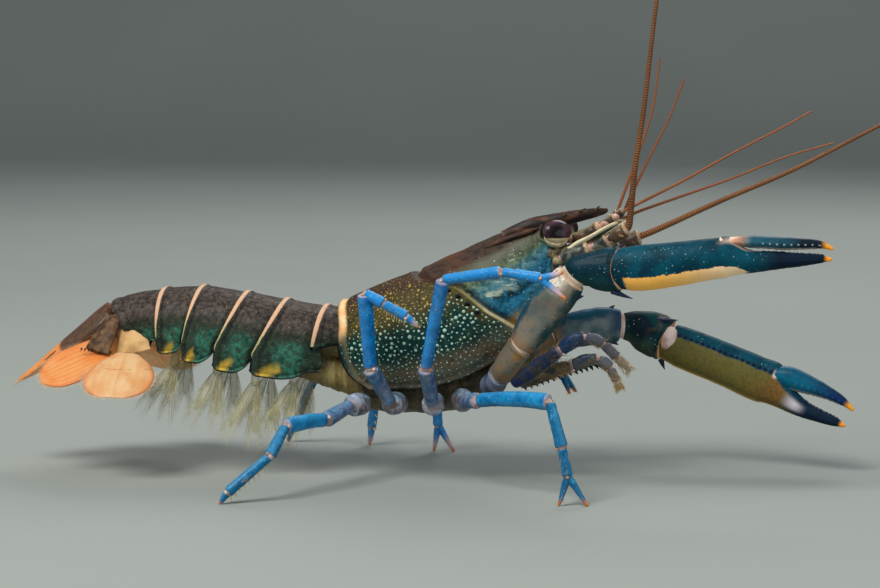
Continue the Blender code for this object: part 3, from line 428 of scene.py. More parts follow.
THORAX_ROWS = 110
THORAX_COLUMNS = 241
WALL = 0.7
FOLD = 0.75


def shell_grid(rear, front, rows, columns):
    """The carapace between two margins: points, which way is out, and how each point lies in the shell."""
    share = np.linspace(0, 1, rows)[:, None]
    turn = np.linspace(-1, 1, columns)[None, :]
    t = np.abs(turn)
    start = margin(rear, t)
    ahead = start + (margin(front, t) - start) * share
    half, rise = shell_section(ahead, t)
    grid = in_body(ahead, np.copysign(half, turn), rise)
    _, top, _, bottom, _ = reading(CARAPACE, ahead)
    marks = {"depth": (top - rise) / (top - bottom), "ahead": ahead, "rear": ahead - start,
             "groove": ahead - margin(NECK_GROOVE, t), "lower": (rise - bottom)}
    return grid, outward(grid, in_body(20.0, 0.0, -9.0)), marks


def thorax_surface():
    grid, normal, marks = shell_grid(REAR_MARGIN, NECK_GROOVE, THORAX_ROWS, THORAX_COLUMNS)
    rim = 0.25 * bump_at(marks["rear"] - 0.5, 0.45) - 0.22 * bump_at(marks["rear"] - 1.5, 0.5)
    hem = 0.25 * bump_at(marks["lower"] - 0.3, 0.35) - 0.15 * bump_at(marks["lower"] - 1.1, 0.4)
    neck = -FOLD * bump_at(marks["groove"], 0.75) + 0.12 * bump_at(marks["groove"] + 1.3, 0.7)
    seam = -0.12 * bump_at(np.abs(grid[..., 1]) - 1.5, 0.35) * (1 - bump_at(marks["rear"], 3.0))
    uneven = 0.05 * ripple(grid, 5.0, 3) + 0.02 * ripple(grid, 1.3, 4)
    return grid + normal * (rim + hem + neck + seam + uneven)[..., None], normal, marks


def make_thorax():
    grid, normal, marks = thorax_surface()
    shape = Shape("thorax_shell")
    thick = WALL * np.minimum(1, 0.25 + marks["rear"] / 1.5)
    shape.wall(grid, normal, thick, **marks)
    return fit(shape.build(thorax_paint()), "thorax_shell", "thorax")


make_thorax()


# Granules, tubercles, spines and bristles of the shell: outgrowths of the same chalky layer, or stiff hairs
# that stand in sockets in it. They follow the shell they grow from, and vary a little from one to the next.
class Tree:
    """A Geometry Nodes tree under construction, with inputs given as name: (kind, first value)."""

    def __init__(self, name, inputs):
        self.group = bpy.data.node_groups.new(name, "GeometryNodeTree")
        sockets = self.group.interface
        sockets.new_socket(name="Geometry", in_out="OUTPUT", socket_type="NodeSocketGeometry")
        for key, (kind, value) in inputs.items():
            socket = sockets.new_socket(name=key, in_out="INPUT", socket_type=f"NodeSocket{kind}")
            if value is not None:
                socket.default_value = value
        self.given = self.outputs("NodeGroupInput")

    def outputs(self, kind, settings=None, sockets=None):
        made = self.group.nodes.new(kind)
        for key, value in (settings or {}).items():
            setattr(made, key, value)
        for key, value in (sockets or {}).items():
            if isinstance(value, bpy.types.NodeSocket):
                self.group.links.new(value, made.inputs[key])
            else:
                made.inputs[key].default_value = value
        return made.outputs

    def node(self, kind, settings=None, **sockets):
        """The first output of a geometry node, whose sockets are named with _ for a space."""
        sockets = {key.replace("_", " "): value for key, value in sockets.items()}
        return self.outputs("GeometryNode" + kind, settings, sockets)[0]

    def math(self, operation, *values):
        return self.outputs("ShaderNodeMath", {"operation": operation}, dict(enumerate(values)))[0]

    def taper(self, share, start, end):
        return self.outputs("ShaderNodeMapRange", None, {"Value": share, "To Min": start, "To Max": end})[0]

    def vector(self, name):
        """A vector that is kept on the points under a name."""
        return self.node("InputNamedAttribute", {"data_type": "FLOAT_VECTOR"}, Name=name)

    def store(self, geometry, name, value, kind="FLOAT_VECTOR", domain="POINT"):
        settings = {"data_type": kind, "domain": domain}
        return self.node("StoreNamedAttribute", settings, Geometry=geometry, Name=name, Value=value)

    def done(self, geometry):
        geometry = self.node("RealizeInstances", Geometry=geometry)
        geometry = self.node("SetShadeSmooth", Geometry=geometry)
        geometry = self.node("SetMaterial", Geometry=geometry, Material=self.given["Paint"])
        self.outputs("NodeGroupOutput", None, {0: geometry})
        return self.group


def growth_tree():
    """Stands one tapered, bent spike on every root, along its lie and to its size."""
    tree = Tree("growths", {"Roots": ("Geometry", None), "Sides": ("Int", 5), "Rings": ("Int", 4),
                            "Tip width": ("Float", 0.1), "Bend": ("Float", 0.2), "Fullness": ("Float", 1.0),
                            "Paint": ("Material", None)})
    given = tree.given
    bend = tree.outputs("ShaderNodeCombineXYZ", None, {"X": given["Bend"], "Z": 1.0})[0]
    line = tree.node("CurveQuadraticBezier", Resolution=given["Rings"], Start=(0, 0, 0), Middle=(0, 0, 0.5),
                     End=bend)
    eased = tree.math("POWER", tree.node("SplineParameter"), given["Fullness"])
    taper = tree.taper(eased, 1.0, given["Tip width"])
    sized = tree.node("SetCurveRadius", Curve=line, Radius=taper)
    ring = tree.node("CurvePrimitiveCircle", Resolution=given["Sides"], Radius=1.0)
    spike = tree.node("CurveToMesh", Curve=sized, Profile_Curve=ring, Scale=taper, Fill_Caps=True)
    kept = tree.store(spike, "in_spike", tree.node("InputPosition"))
    stand = tree.outputs("FunctionNodeAlignRotationToVector", {"axis": "Z"},
                         {"Vector": tree.vector("lie")})[0]
    turn = tree.outputs("FunctionNodeAlignRotationToVector", {"axis": "X", "pivot_axis": "Z"},
                        {"Rotation": stand, "Vector": tree.vector("sag")})[0]
    grown = tree.node("InstanceOnPoints", Points=given["Roots"], Instance=kept, Rotation=turn,
                      Scale=tree.vector("size"))
    real = tree.node("RealizeInstances", Geometry=grown)
    patch = tree.outputs("ShaderNodeVectorMath", {"operation": "MULTIPLY_ADD"},
                         {0: tree.vector("in_spike"), 1: (0.0015, 0.0015, 0.0), 2: tree.vector("spot")})[0]
    return tree.done(tree.store(real, "OFBake", patch, "FLOAT2", "CORNER"))


def run_tree(tree, piece, inputs):
    """Gives a piece the plain mesh that a tree makes of it."""
    made = piece.modifiers.new("tree", "NODES")
    made.node_group = tree
    sockets = {item.name: item.identifier for item in tree.interface.items_tree if item.in_out == "INPUT"}
    for name, value in inputs.items():
        made[sockets[name]] = value
    bpy.context.view_layer.update()
    ready = piece.evaluated_get(bpy.context.evaluated_depsgraph_get())
    data = bpy.data.meshes.new_from_object(ready)
    piece.modifiers.clear()
    piece.data = data
    return piece


GROWTHS = growth_tree()


class Bed:
    """Where outgrowths stand: a root, a lie, a length and a half width each, in millimetres."""

    def __init__(self):
        self.rows = []

    def plant(self, root, lie, length, width, sag=(0, 0, -1)):
        self.rows.append((*root, *lie, *sag, width, width, length))

    def grow(self, name, paint, sides=5, rings=4, tip=0.1, bend=0.2, fullness=1.0):
        rows = np.array(self.rows, float)
        data = bpy.data.meshes.new(name)
        data.from_pydata(((rows[:, :3] - MIDDLE) * MM).tolist(), [], [])
        spots = (rows[:, :3] - rows[:, :3].min(axis=0)) / max(np.ptp(rows[:, :3], axis=0).max(), 1e-6)
        columns = {"lie": rows[:, 3:6], "sag": rows[:, 6:9], "size": rows[:, 9:12] * MM, "spot": spots}
        for key, values in columns.items():
            kept = data.attributes.new(key, "FLOAT_VECTOR", "POINT")
            kept.data.foreach_set("vector", values.astype(np.float32).reshape(-1))
        piece = placed(name, data)
        inputs = {"Sides": sides, "Rings": rings, "Tip width": tip, "Bend": bend, "Fullness": fullness,
                  "Paint": paint}
        return run_tree(GROWTHS, piece, inputs)


def plain_paint(name, colour, second, roughness=0.4, size=1.0, **sockets):
    """A finish of two clouded shades."""
    paint = Paint(name)
    cloud = paint.noise(size)
    paint.colour = cloud.blend(0.35, 0.65, colour, second)
    return paint.finish(roughness, **sockets)


def granule_paint():
    """Golden brown granules high on the shell, pale green ones on the flank."""
    paint = Paint("granules")
    split = paint.node("ShaderNodeSeparateXYZ", None, {0: paint.place})
    ahead = (split[0] + float(MIDDLE[0] - BACK_START[0])) * AHEAD[0] + (split[2] - BACK_START[2]) * AHEAD[2]
    rise = (split[0] + float(MIDDLE[0] - BACK_START[0])) * RISE[0] + (split[2] - BACK_START[2]) * RISE[2]
    low = (0 - rise) + paint.noise(5.0) * 2.0 + ahead * 0.02
    paint.colour = low.blend(6.0, 9.0, (150, 120, 62), (156, 190, 174))
    return paint.finish(0.35, Coat_Weight=0.3)


def scattered(grid, spacing, draw, chance=None):
    """Rows and columns of a grid's points that keep a spacing, taken at random."""
    rows, columns = grid.shape[:2]
    taken = {}
    found = []
    for number in draw.permutation(rows * columns):
        i, j = divmod(int(number), columns)
        if chance is not None and draw.uniform() > chance[i, j]:
            continue
        point = grid[i, j]
        cell = tuple(np.floor(point / spacing).astype(int))
        steps = itertools.product((-1, 0, 1), repeat=3)
        around = [(cell[0] + a, cell[1] + b, cell[2] + c) for a, b, c in steps]
        if any(np.sum((taken[key] - point) ** 2) < spacing**2 for key in around if key in taken):
            continue
        taken[cell] = point
        found.append((i, j))
    return found


# Sides, rings, width of the tip, bend and fullness of each kind of outgrowth
THORAX_GRANULES = (7, 4, 0.05, 0.0, 2.6)


def grow_granules():
    """Low domes set close all over the flanks, larger at mid height."""
    draw = np.random.default_rng(11)
    grid, normal, marks = thorax_surface()
    chance = bump_at(np.clip(np.abs(marks["depth"] - 0.5) - 0.3, 0, 1), 0.12) * (marks["rear"] > 1.6)
    chance = chance * (marks["groove"] < -1.2) * 0.6
    bed = Bed()
    for i, j in scattered(grid, 0.76, draw, chance):
        mid = float(bump_at(marks["depth"][i, j] - 0.52, 0.2))
        width = draw.uniform(0.1, 0.17) + 0.24 * mid * draw.uniform(0, 1) ** 1.7
        bed.plant(grid[i, j] - normal[i, j] * 0.03, normal[i, j], width * 0.6, width)
    piece = bed.grow("thorax_granules", granule_paint(), *THORAX_GRANULES)
    return fit(piece, "thorax_shell")


NECK_TUBERCLES = (12, 8, 0.05, 0.0, 2.0)


def grow_neck_tubercles():
    """Four blunt black tubercles behind the neck groove on each side."""
    bed = Bed()
    for side in (-1, 1):
        for depth in (0.36, 0.42, 0.48, 0.54):
            ahead = margin(NECK_GROOVE, depth) - 1.5
            half, rise = shell_section(ahead, depth)
            root = in_body(ahead - 0.2, side * (half - 0.2), rise)
            lie = in_body(ahead + 0.7, side * (half + 0.7), rise) - root
            bed.plant(root, lie / np.linalg.norm(lie), 0.95, 0.5)
    dark = plain_paint("tubercle", INK, (30, 34, 44), 0.25)
    return fit(bed.grow("neck_tubercles", dark, *NECK_TUBERCLES), "thorax_shell")


grow_granules()
grow_neck_tubercles()


# Front half of the carapace with its beak, the rostrum. Shell as on the rear half, nearly black brown on top,
# streaked cream and teal on the cheeks; spines line the beak and end the ridges behind the eyes.
FRONT_MARGIN = ((0.0, 41.0), (0.25, 39.6), (0.45, 41.4), (0.7, 39.6), (1.0, 38.0))
# ahead, half width, rise of the top, thickness
ROSTRUM = ((33.0, 3.6, 0.1, 2.4), (38.0, 3.6, 0.2, 2.4), (41.0, 3.0, -0.2, 2.2), (44.4, 2.5, -0.8, 1.9),
           (47.3, 1.95, -1.4, 1.6), (50.0, 1.25, -2.0, 1.3), (51.5, 0.5, -2.4, 0.8), (51.9, 0.15, -2.5, 0.5))
ROSTRUM_SPINES = ((44.4, 2.45), (47.3, 1.85), (50.0, 1.15))
# ahead, distance from the midline, rise, radius
EYE_RIDGE = ((27.5, 4.4, -0.9, 0.2), (30.5, 4.7, -0.75, 0.55), (34.5, 4.75, -0.75, 0.7),
             (37.5, 4.6, -0.85, 0.7), (39.2, 4.4, -0.95, 0.3), (39.9, 4.4, -0.95, 0.05))


def head_paint():
    paint = Paint("head_shell")
    depth, ahead, groove = paint.marks("depth", "ahead", "groove")
    cloud = paint.noise(5.0)
    grain = paint.noise(0.9, 5)
    streaks = paint.noise(1.6, 4, (0.35, 1.0, 1.0))
    level = depth + cloud.sway(0.16)
    sage = grain.blend(0.4, 0.65, (50, 72, 56), (98, 108, 76))
    teal = level.blend(0.3, 0.46, sage, grain.blend(0.4, 0.65, (50, 98, 110), (92, 138, 146)))
    crown = grain.blend(0.4, 0.7, (66, 52, 42), DARK_BROWN)
    paint.colour = level.blend(0.11, 0.18, crown, (78, 80, 62))
    paint.lay(level.step(0.22, 0.34), teal)
    paint.lay(level.step(0.42, 0.6), grain.blend(0.35, 0.7, (34, 112, 142), (18, 74, 98)))
    paint.lay(level.step(0.68, 0.9), (84, 98, 82))
    dusk = paint.noise(2.4, 5).step(0.52, 0.64) * level.step(0.16, 0.3)
    paint.lay(dusk * 0.75, (30, 36, 28))
    slash = (depth * 22.0 - (ahead - 27.0)).near(7.5, 2.6) * ahead.step(22.0, 26.0)
    cream = (streaks + slash * 0.14).step(0.58, 0.68) * level.step(0.2, 0.3) * level.fade(0.5, 0.62)
    paint.lay(cream * 0.75, (186, 196, 170))
    red = cloud.step(0.4, 0.6) * level.fade(0.1, 0.18) * ahead.fade(22.0, 30.0)
    paint.lay(red * 0.7, (96, 56, 38))
    fleck = paint.dots(0.9, 0.14, 0.5) * level.step(0.08, 0.2)
    paint.lay(fleck * 0.6, PALE_DOT)
    lip = groove.near(0.35, 0.6) * depth.step(0.3, 0.45)
    paint.lay(lip * 0.7, (60, 50, 34))
    cheek = ahead.near(30.0, 3.2) * level.near(0.86, 0.14)
    paint.lay(cheek * 0.85, (196, 140, 44))
    horn = streaks.blend(0.45, 0.65, DARK_BROWN, (92, 60, 40))
    paint.lay(paint.mark("beak"), horn)
    height = grain - paint.dots(0.5, 0.15) * 0.5
    return paint.finish(0.42 + 0.2 * grain, paint.bump(height, 0.07), Coat_Weight=0.08)


def once_round(steps):
    """Angles round a tube."""
    return np.linspace(0, 2 * np.pi, steps, endpoint=False)[None, :]


def rostrum_grid(rows, columns):
    """The beak: a flat trough between two raised rims, thin at its edges and thick under the middle."""
    ahead = np.linspace(ROSTRUM[0][0], ROSTRUM[-1][0], rows)[:, None]
    wide, top, thick = reading(ROSTRUM, ahead)
    turn = once_round(columns)
    y = np.cos(turn)
    upper = np.maximum(np.sin(turn), 0)
    lower = np.minimum(np.sin(turn), 0)
    rim = 0.28 * bump_at(np.abs(y) - 0.84, 0.13) * (upper > 0)
    keel = 0.1 * bump_at(y, 0.12) * np.clip((ahead - 40) / 6, 0, 1) * (upper > 0)
    rise = top + wide * (rim + keel - 0.12) + upper**0.5 * 0.12 * wide + lower * thick * 0.8
    return in_body(ahead + 0 * y, wide * y, rise), ahead + 0 * y


def ridge_grid(side, rows=60, columns=20):
    ahead = np.linspace(EYE_RIDGE[0][0], EYE_RIDGE[-1][0], rows)[:, None]
    y, rise, wide = reading(EYE_RIDGE, ahead)
    turn = once_round(columns)
    ahead = ahead + 0 * turn
    return in_body(ahead, side * y + wide * np.cos(turn), rise + 0.75 * wide * np.sin(turn)), ahead


def head_surface():
    grid, normal, marks = shell_grid(NECK_GROOVE, FRONT_MARGIN, 110, 221)
    marks["front"] = margin(FRONT_MARGIN, np.abs(np.linspace(-1, 1, 221)))[None, :] - marks["ahead"]
    neck = -FOLD * bump_at(marks["groove"], 0.75) + 0.1 * bump_at(marks["groove"] - 1.2, 0.6)
    rim = 0.2 * bump_at(marks["front"] - 0.4, 0.35) - 0.12 * bump_at(marks["front"] - 1.2, 0.4)
    hem = 0.22 * bump_at(marks["lower"] - 0.3, 0.35) - 0.15 * bump_at(marks["lower"] - 1.1, 0.4)
    jaw = -0.35 * bump_at(marks["depth"] - 0.62 - 0.012 * (marks["ahead"] - 30), 0.045)
    jaw = jaw * np.clip((marks["ahead"] - 27) / 3, 0, 1) * np.clip(marks["front"] / 3, 0, 1)
    uneven = 0.06 * ripple(grid, 4.0, 5) + 0.02 * ripple(grid, 1.2, 6)
    return grid + normal * (neck + rim + hem + jaw + uneven)[..., None], normal, marks


def make_head():
    grid, normal, marks = head_surface()
    shape = Shape("head_shell")
    shape.wall(grid, normal, WALL * np.minimum(1, 0.25 + marks["front"] / 1.5), **marks)
    beak, ahead = rostrum_grid(90, 64)
    shape.tube(beak, ahead=ahead, depth=0.0, groove=9.0, beak=1.0)
    for side in (-1, 1):
        ridge, ahead = ridge_grid(side)
        shape.tube(ridge, ahead=ahead, depth=0.05, groove=9.0, beak=1.0)
    return fit(shape.build(head_paint()), "head_shell", "head")


CHEEK_WARTS = (7, 4, 0.05, 0.0, 2.6)
HEAD_SPINES = (12, 8, 0.06, 0.12, 1.3)


def grow_head_spines():
    """Paired spines along the beak's rims, one on each cheek under the eye, and low warts on the cheeks."""
    bed = Bed()
    for side in (-1, 1):
        for ahead, wide in ROSTRUM_SPINES:
            rise = float(reading(ROSTRUM, ahead)[1])
            root = in_body(ahead - 0.5, side * (wide - 0.35), rise - 0.1)
            lie = in_body(ahead + 0.75, side * (wide + 0.35), rise + 0.5) - root
            bed.plant(root, lie / np.linalg.norm(lie), float(np.linalg.norm(lie)), 0.38, -RISE)
        root = in_body(38.8, side * 4.7, -6.3)
        lie = in_body(41.6, side * 6.0, -6.3) - root
        bed.plant(root, lie / np.linalg.norm(lie), float(np.linalg.norm(lie)), 0.6, RISE)
    horn = plain_paint("spine", DARK_BROWN, (96, 74, 50), 0.3)
    fit(bed.grow("head_spines", horn, *HEAD_SPINES), "head_shell")
    draw = np.random.default_rng(12)
    warts = Bed()
    grid, normal, marks = head_surface()
    chance = 0.35 * (marks["depth"] > 0.25) * (marks["front"] > 1.5) * (marks["groove"] > 1.5)
    for i, j in scattered(grid, 1.0, draw, chance):
        width = draw.uniform(0.07, 0.14)
        warts.plant(grid[i, j] - normal[i, j] * 0.02, normal[i, j], width * 0.8, width)
    paint = plain_paint("cheek_wart", (140, 164, 150), (90, 120, 118), 0.35, Coat_Weight=0.3)
    return fit(warts.grow("cheek_warts", paint, *CHEEK_WARTS), "head_shell")


make_head()
grow_head_spines()


# Abdomen: six hard rings of shell hinged one behind the other, each sliding under the one in front. Brown
# above with a cream band at the rear edge, bottle green side plates with a yellow patch, soft tan skin below.
TAIL_BACK = ((-61.7, 30.9), (-57.8, 32.5), (-52.7, 33.4), (-44.7, 34.1), (-36.3, 33.2), (-28.9, 32.0),
             (-21.4, 31.0), (-18.2, 30.9))
# along X, half width, height of the arch above the flanks, depth of the belly
TAIL_SIZES = ((-62.5, 5.4, 4.6, 5.2), (-57.0, 6.6, 5.6, 6.8), (-52.7, 7.4, 6.4, 8.0),
              (-44.7, 8.2, 7.2, 8.8), (-33.0, 8.6, 7.6, 9.0), (-25.0, 8.4, 7.4, 8.9),
              (-18.0, 7.6, 6.8, 8.4))
SEGMENT_EDGES = (-21.4, -28.9, -36.3, -44.7, -51.9, -61.4)
SEGMENT_SWEEPS = (0.9, 2.9, 2.5, 1.5, 0.7, -3.8)
SIDE_DEPTHS = (6.9, 13.3, 13.6, 13.1, 11.5, 9.2)
FRONT_CURLS = (0.0, 0.12, 0.2, 0.2, 0.2, 0.2)
# Share of the way down the second side plate, and how far its front lobe reaches ahead there
SECOND_PLATE = ((0.0, 0.0), (0.33, 0.3), (0.67, 0.6), (1.0, -0.3))
FIRST_EDGE = -18.75
SEGMENT_ROWS = 64
SEGMENT_COLUMNS = 181
TUCK = 1.3
PLATE_WALL = 0.75


def tail_point(x, y, drop, sweep):
    z = reading(TAIL_BACK, x)
    slope = np.arctan(reading(TAIL_BACK, x + 0.5) - reading(TAIL_BACK, x - 0.5))
    return np.stack(np.broadcast_arrays(x + np.sin(slope) * drop - sweep, y, z - np.cos(slope) * drop), -1)


def segment_surface(index):
    """The outside of one ring, from under the ring ahead of it to its own rear edge."""
    start = FIRST_EDGE if index == 0 else SEGMENT_EDGES[index - 1]
    length = start - SEGMENT_EDGES[index]
    share = np.linspace(-TUCK / length, 1, SEGMENT_ROWS)[:, None]
    turn = np.linspace(-1, 1, SEGMENT_COLUMNS)[None, :]
    t = np.abs(turn)
    x = start - length * share
    start_sweep = 0.0 if index == 0 else SEGMENT_SWEEPS[index - 1]
    sweep = start_sweep + (SEGMENT_SWEEPS[index] - start_sweep) * share
    half, arch, belly = reading(TAIL_SIZES, x)
    if index == 0:
        arch = np.minimum(arch, belly - 2.5)
    held = np.maximum(share, 0)
    curl = 1 - FRONT_CURLS[index] * np.maximum(0, 1 - held / 0.5) ** 2
    curl = curl - 0.07 * np.maximum(0, (share - 0.8) / 0.2) ** 2
    depth = np.maximum(SIDE_DEPTHS[index] * curl, belly + (0.9 if index else -1.6))
    arc = np.pi * np.minimum(t, 0.5)
    fall = np.clip(2 * t - 1, 0, 1)
    wide = half * np.sin(arc) - 0.5 * fall**2
    drop = arch * (1 - np.cos(arc)) + (depth - arch) * fall
    reach = reading(SECOND_PLATE, fall) * (1 - held) ** 2 if index == 1 else 0.0
    swept = sweep * np.minimum(1, np.maximum(drop, 0) / 9.0) ** 1.3 - reach
    grid = tail_point(x, np.copysign(wide, turn), drop, swept)
    normal = outward(grid, np.array((start - length / 2, 0.0, 26.0)))
    rear = (1 - share) * length + 0 * t
    front = share * length + 0 * t
    lip = 0.3 * np.clip(1 - rear / (0.35 * length), 0, 1) ** 0.7
    ledge = 0.16 * bump_at(rear - 0.6, 0.55) * (1 - 0.7 * fall) - 0.1 * bump_at(rear - 1.6, 0.4)
    sunk = -0.62 * np.clip(1 - (front + TUCK) / (TUCK + 0.9), 0, 1) ** 0.8
    boss = 0.35 * bump_at(fall - 0.45, 0.3) * bump_at(rear / length - 0.4, 0.28)
    facet = -0.25 * np.clip(1 - front / (0.3 * length), 0, 1) * np.clip(fall * 2, 0, 1)
    hem = 0.14 * bump_at(fall - 0.97, 0.04) - 0.1 * bump_at(fall - 0.88, 0.05)
    uneven = 0.035 * ripple(grid, 3.0, 20 + index)
    grid = grid + normal * (lip + ledge + sunk + boss + facet + hem + uneven)[..., None]
    marks = {"rear": rear, "front": front, "fall": fall + 0 * share, "drop": drop}
    return grid, normal, marks


def segment_paint(index):
    paint = Paint(f"tail_segment_{index + 1}")
    rear, front, fall = paint.marks("rear", "front", "fall")
    cloud = paint.noise(3.5)
    grain = paint.noise(0.8, 5)
    level = paint.mark("drop") + cloud.sway(3.0)
    paint.colour = grain.blend(0.35, 0.7, (78, 68, 60), (38, 34, 34))
    paint.lay(level.step(2.8, 5.2), grain.blend(0.4, 0.65, (52, 54, 40), (30, 38, 32)))
    paint.lay(level.step(5.0, 7.0), grain.blend(0.4, 0.7, (44, 60, 48), (20, 36, 32)))
    blotch = paint.noise(1.5, 6)
    teal = (front + blotch.sway(3.0)).step(0.5, 1.3) * (1 - (front + blotch.sway(4.5)).step(3.4, 5.6))
    teal = teal * (level + blotch.sway(4.0)).step(5.4, 7.4)
    paint.lay(teal * 0.85, grain.blend(0.4, 0.65, (54, 114, 94), (18, 56, 50)))
    paint.lay(grain.step(0.5, 0.75) * level.step(5, 7) * 0.6, (92, 104, 76))
    paint.lay(blotch.step(0.52, 0.66) * level.step(4.6, 6.4) * 0.6, (16, 32, 32))
    slant = fall + rear * 0.12 + blotch.sway(0.35)
    patch = slant.near(1.14, 0.3) * rear.step(0.7, 1.4) * (rear + blotch * 2.0).fade(4.4, 5.6)
    patch = patch * fall.step(0.2, 0.55) * (0.0 if index in (0, 5) else 1.0)
    paint.lay(patch * 0.9, (206, 168, 62))
    edge = fall.step(0.93, 0.975).most(rear.fade(0.2, 0.4) * fall.step(0.2, 0.5))
    paint.lay(edge, INK)
    fleck = paint.dots(0.62, 0.08, 0.4) * level.fade(7.0, 9.0)
    paint.lay(fleck * 0.8, (196, 166, 128))
    paint.lay(paint.dots(0.42, 0.08, 0.35) * 0.45, (140, 136, 116))
    veins = abs(paint.noise(2.4, 5) - 0.5)
    paint.lay(veins.fade(0.0, 0.04) * level.fade(6.0, 8.0) * 0.5, (28, 24, 24))
    if index < 5:
        width = 0.96 - level.step(1.0, 9.0) * 0.66 + grain.sway(0.3)
        band = (rear / width).fade(0.75, 1.0) * fall.fade(0.28, 0.5) * rear.step(0.0, 0.12)
        tone = level.blend(4.0, 8.0, (214, 172, 138), (186, 178, 124))
        tone = paint.mix(grain.step(0.5, 0.8) * 0.5, tone, (158, 120, 92))
        # Painted shadow: a thin dark line just ahead of the pale band, in the dip in front of the raised rear
        # rim.
        paint.lay(rear.near(1.35, 0.5) * 0.5, (26, 22, 22))
        paint.lay(band * (0.8 + cloud * 0.2), tone)
    height = grain - paint.dots(0.5, 0.16) * 0.6
    return paint.finish(0.44 + 0.2 * grain, paint.bump(height, 0.08), Coat_Weight=0.04)


def make_tail_rings():
    for index in range(len(SEGMENT_EDGES)):
        grid, normal, marks = segment_surface(index)
        shape = Shape(f"tail_ring_{index + 1}")
        thick = PLATE_WALL * np.minimum(1, 0.2 + marks["rear"] / 1.2)
        thick = thick * np.minimum(1, 0.3 + 6 * (1 - marks["fall"]))
        shape.wall(grid, normal, thick, **marks)
        fit(shape.build(segment_paint(index)), "tail_shell", f"abdomen_{index + 1}")


BELLY_ROWS = 190
BELLY_COLUMNS = 64


def skin_paint():
    paint = Paint("soft_skin")
    cloud = paint.noise(3.0)
    grain = paint.noise(0.5, 5)
    paint.colour = cloud.blend(0.35, 0.65, (104, 90, 54), (142, 126, 78))
    paint.lay(grain.step(0.5, 0.8) * 0.7, (70, 64, 44))
    return paint.finish(0.45, paint.bump(grain, 0.06), Coat_Weight=0.2, Subsurface_Weight=0.1)


def make_belly():
    """The soft body inside the rings, with a hard bar across it under each of them."""
    x = np.linspace(-62.0, -12.0, BELLY_ROWS)[:, None]
    turn = once_round(BELLY_COLUMNS)
    half, arch, belly = reading(TAIL_SIZES, x)
    ends = np.clip((x + 62.4) / 1.2, 0, 1) ** 0.5
    bars = sum(bump_at(x - edge - 2.6, 1.0) for edge in SEGMENT_EDGES)
    wide = (half - 1.5) * ends * np.cos(turn)
    floor = (belly - arch * 0.55 + 0.35 * bars - 0.3) * ends
    drop = arch * 0.8 - np.where(np.sin(turn) > 0, (arch * 0.8 - 1.0) * ends, floor) * np.sin(turn)
    sweep = 0.15 * (drop - 4)
    grid = tail_point(x, wide, drop, sweep)
    grid = grid + 0.06 * ripple(grid, 1.6, 9)[..., None]
    shape = Shape("tail_belly")
    shape.tube(grid)
    return fit(shape.build(skin_paint()), "underside")


make_tail_rings()
make_belly()


# Tail fan: one middle plate and two pairs of side plates, thin as card, hinged at the last ring. Brown and
# hard at the root, soft clear orange behind, with fine ribs and a fringe of pale hairs round the soft edge.
TELSON = ((0, 4.0, 1.7), (0.06, 4.9, 1.8), (0.3, 5.4, 1.5), (0.55, 5.5, 1.2), (0.72, 5.1, 0.9),
          (0.88, 4.0, 0.7), (0.97, 2.4, 0.6), (1, 1.4, 0.5))
INNER_FAN = ((0, 2.2, 1.0), (0.12, 3.3, 1.1), (0.35, 4.1, 1.0), (0.6, 4.3, 0.85), (0.8, 3.7, 0.7),
             (0.93, 2.3, 0.6), (1, 1.2, 0.5))
OUTER_FAN = ((0, 2.4, 1.0), (0.12, 4.2, 1.1), (0.35, 5.9, 1.0), (0.6, 6.3, 0.85), (0.8, 5.5, 0.7),
             (0.93, 4.0, 0.6), (1, 2.3, 0.5))
# Foot that carries the side plates, and the skin behind it, on the left: point, half thickness, half breadth
FAN_FOOT = (((-60.0, 4.6, 28.8), 0.9, 1.4), ((-60.7, 6.4, 26.4), 1.0, 1.9), ((-61.8, 7.8, 24.0), 0.9, 2.5),
            ((-62.4, 8.6, 22.5), 0.6, 2.8))
FAN_SKIN = (((-57.6, 4.4, 27.2), 0.8, 2.2), ((-56.4, 6.2, 24.6), 0.8, 3.0), ((-55.6, 7.6, 22.0), 0.5, 3.4))
TELSON_SPINE = (-71.6, 4.9, 21.6)
FAN_ROWS = 70
FAN_COLUMNS = 61


def unit(vector):
    vector = np.array(vector, float)
    return vector / np.linalg.norm(vector)


def blade_frame(run, across):
    run = unit(run)
    across = np.array(across, float)
    across = unit(across - run * across.dot(run))
    return run, across, np.cross(across, run)


def blade_surfaces(root, run, across, length, sizes, camber):
    """Upper and lower faces of a fan plate, with fine ribs that spread from its root, and its own marks."""
    run, across, face = blade_frame(run, across)
    share = (1 - np.cos(np.linspace(0, np.pi, FAN_ROWS)[:, None])) / 2
    f = np.sin(np.linspace(-np.pi / 2, np.pi / 2, FAN_COLUMNS))[None, :]
    wide, thick = reading(sizes, share)
    sag = -camber * f * f * wide
    rib = 0.2 * np.minimum(1, wide / 2) * bump_at(f, 0.1) * np.clip(1.1 - share, 0, 1)
    rays = 0.022 * np.cos(f * 26) * np.clip(share * 3, 0, 1) * (1 - bump_at(np.abs(f) - 1, 0.15))
    edge = 0.35 + 0.65 * np.sqrt(np.maximum(0, 1 - f**4))
    end = np.sqrt(np.clip((1 - share) * 12, 0.04, 1))
    waves = 0.12 * np.sin(share * 9 + f * 3) * f * f
    middle = at(root, (run, length * share + 0 * f), (across, wide * f), (face, sag * (1.2 - share) + waves))
    half = thick * 0.5 * edge * end
    marks = {"share": share + 0 * f, "side": f + 0 * share, "edge": wide * (1 - np.abs(f)) + 0 * share}
    return at(middle, (face, half + rib + rays)), at(middle, (face, -half - rays * 0.6)), marks


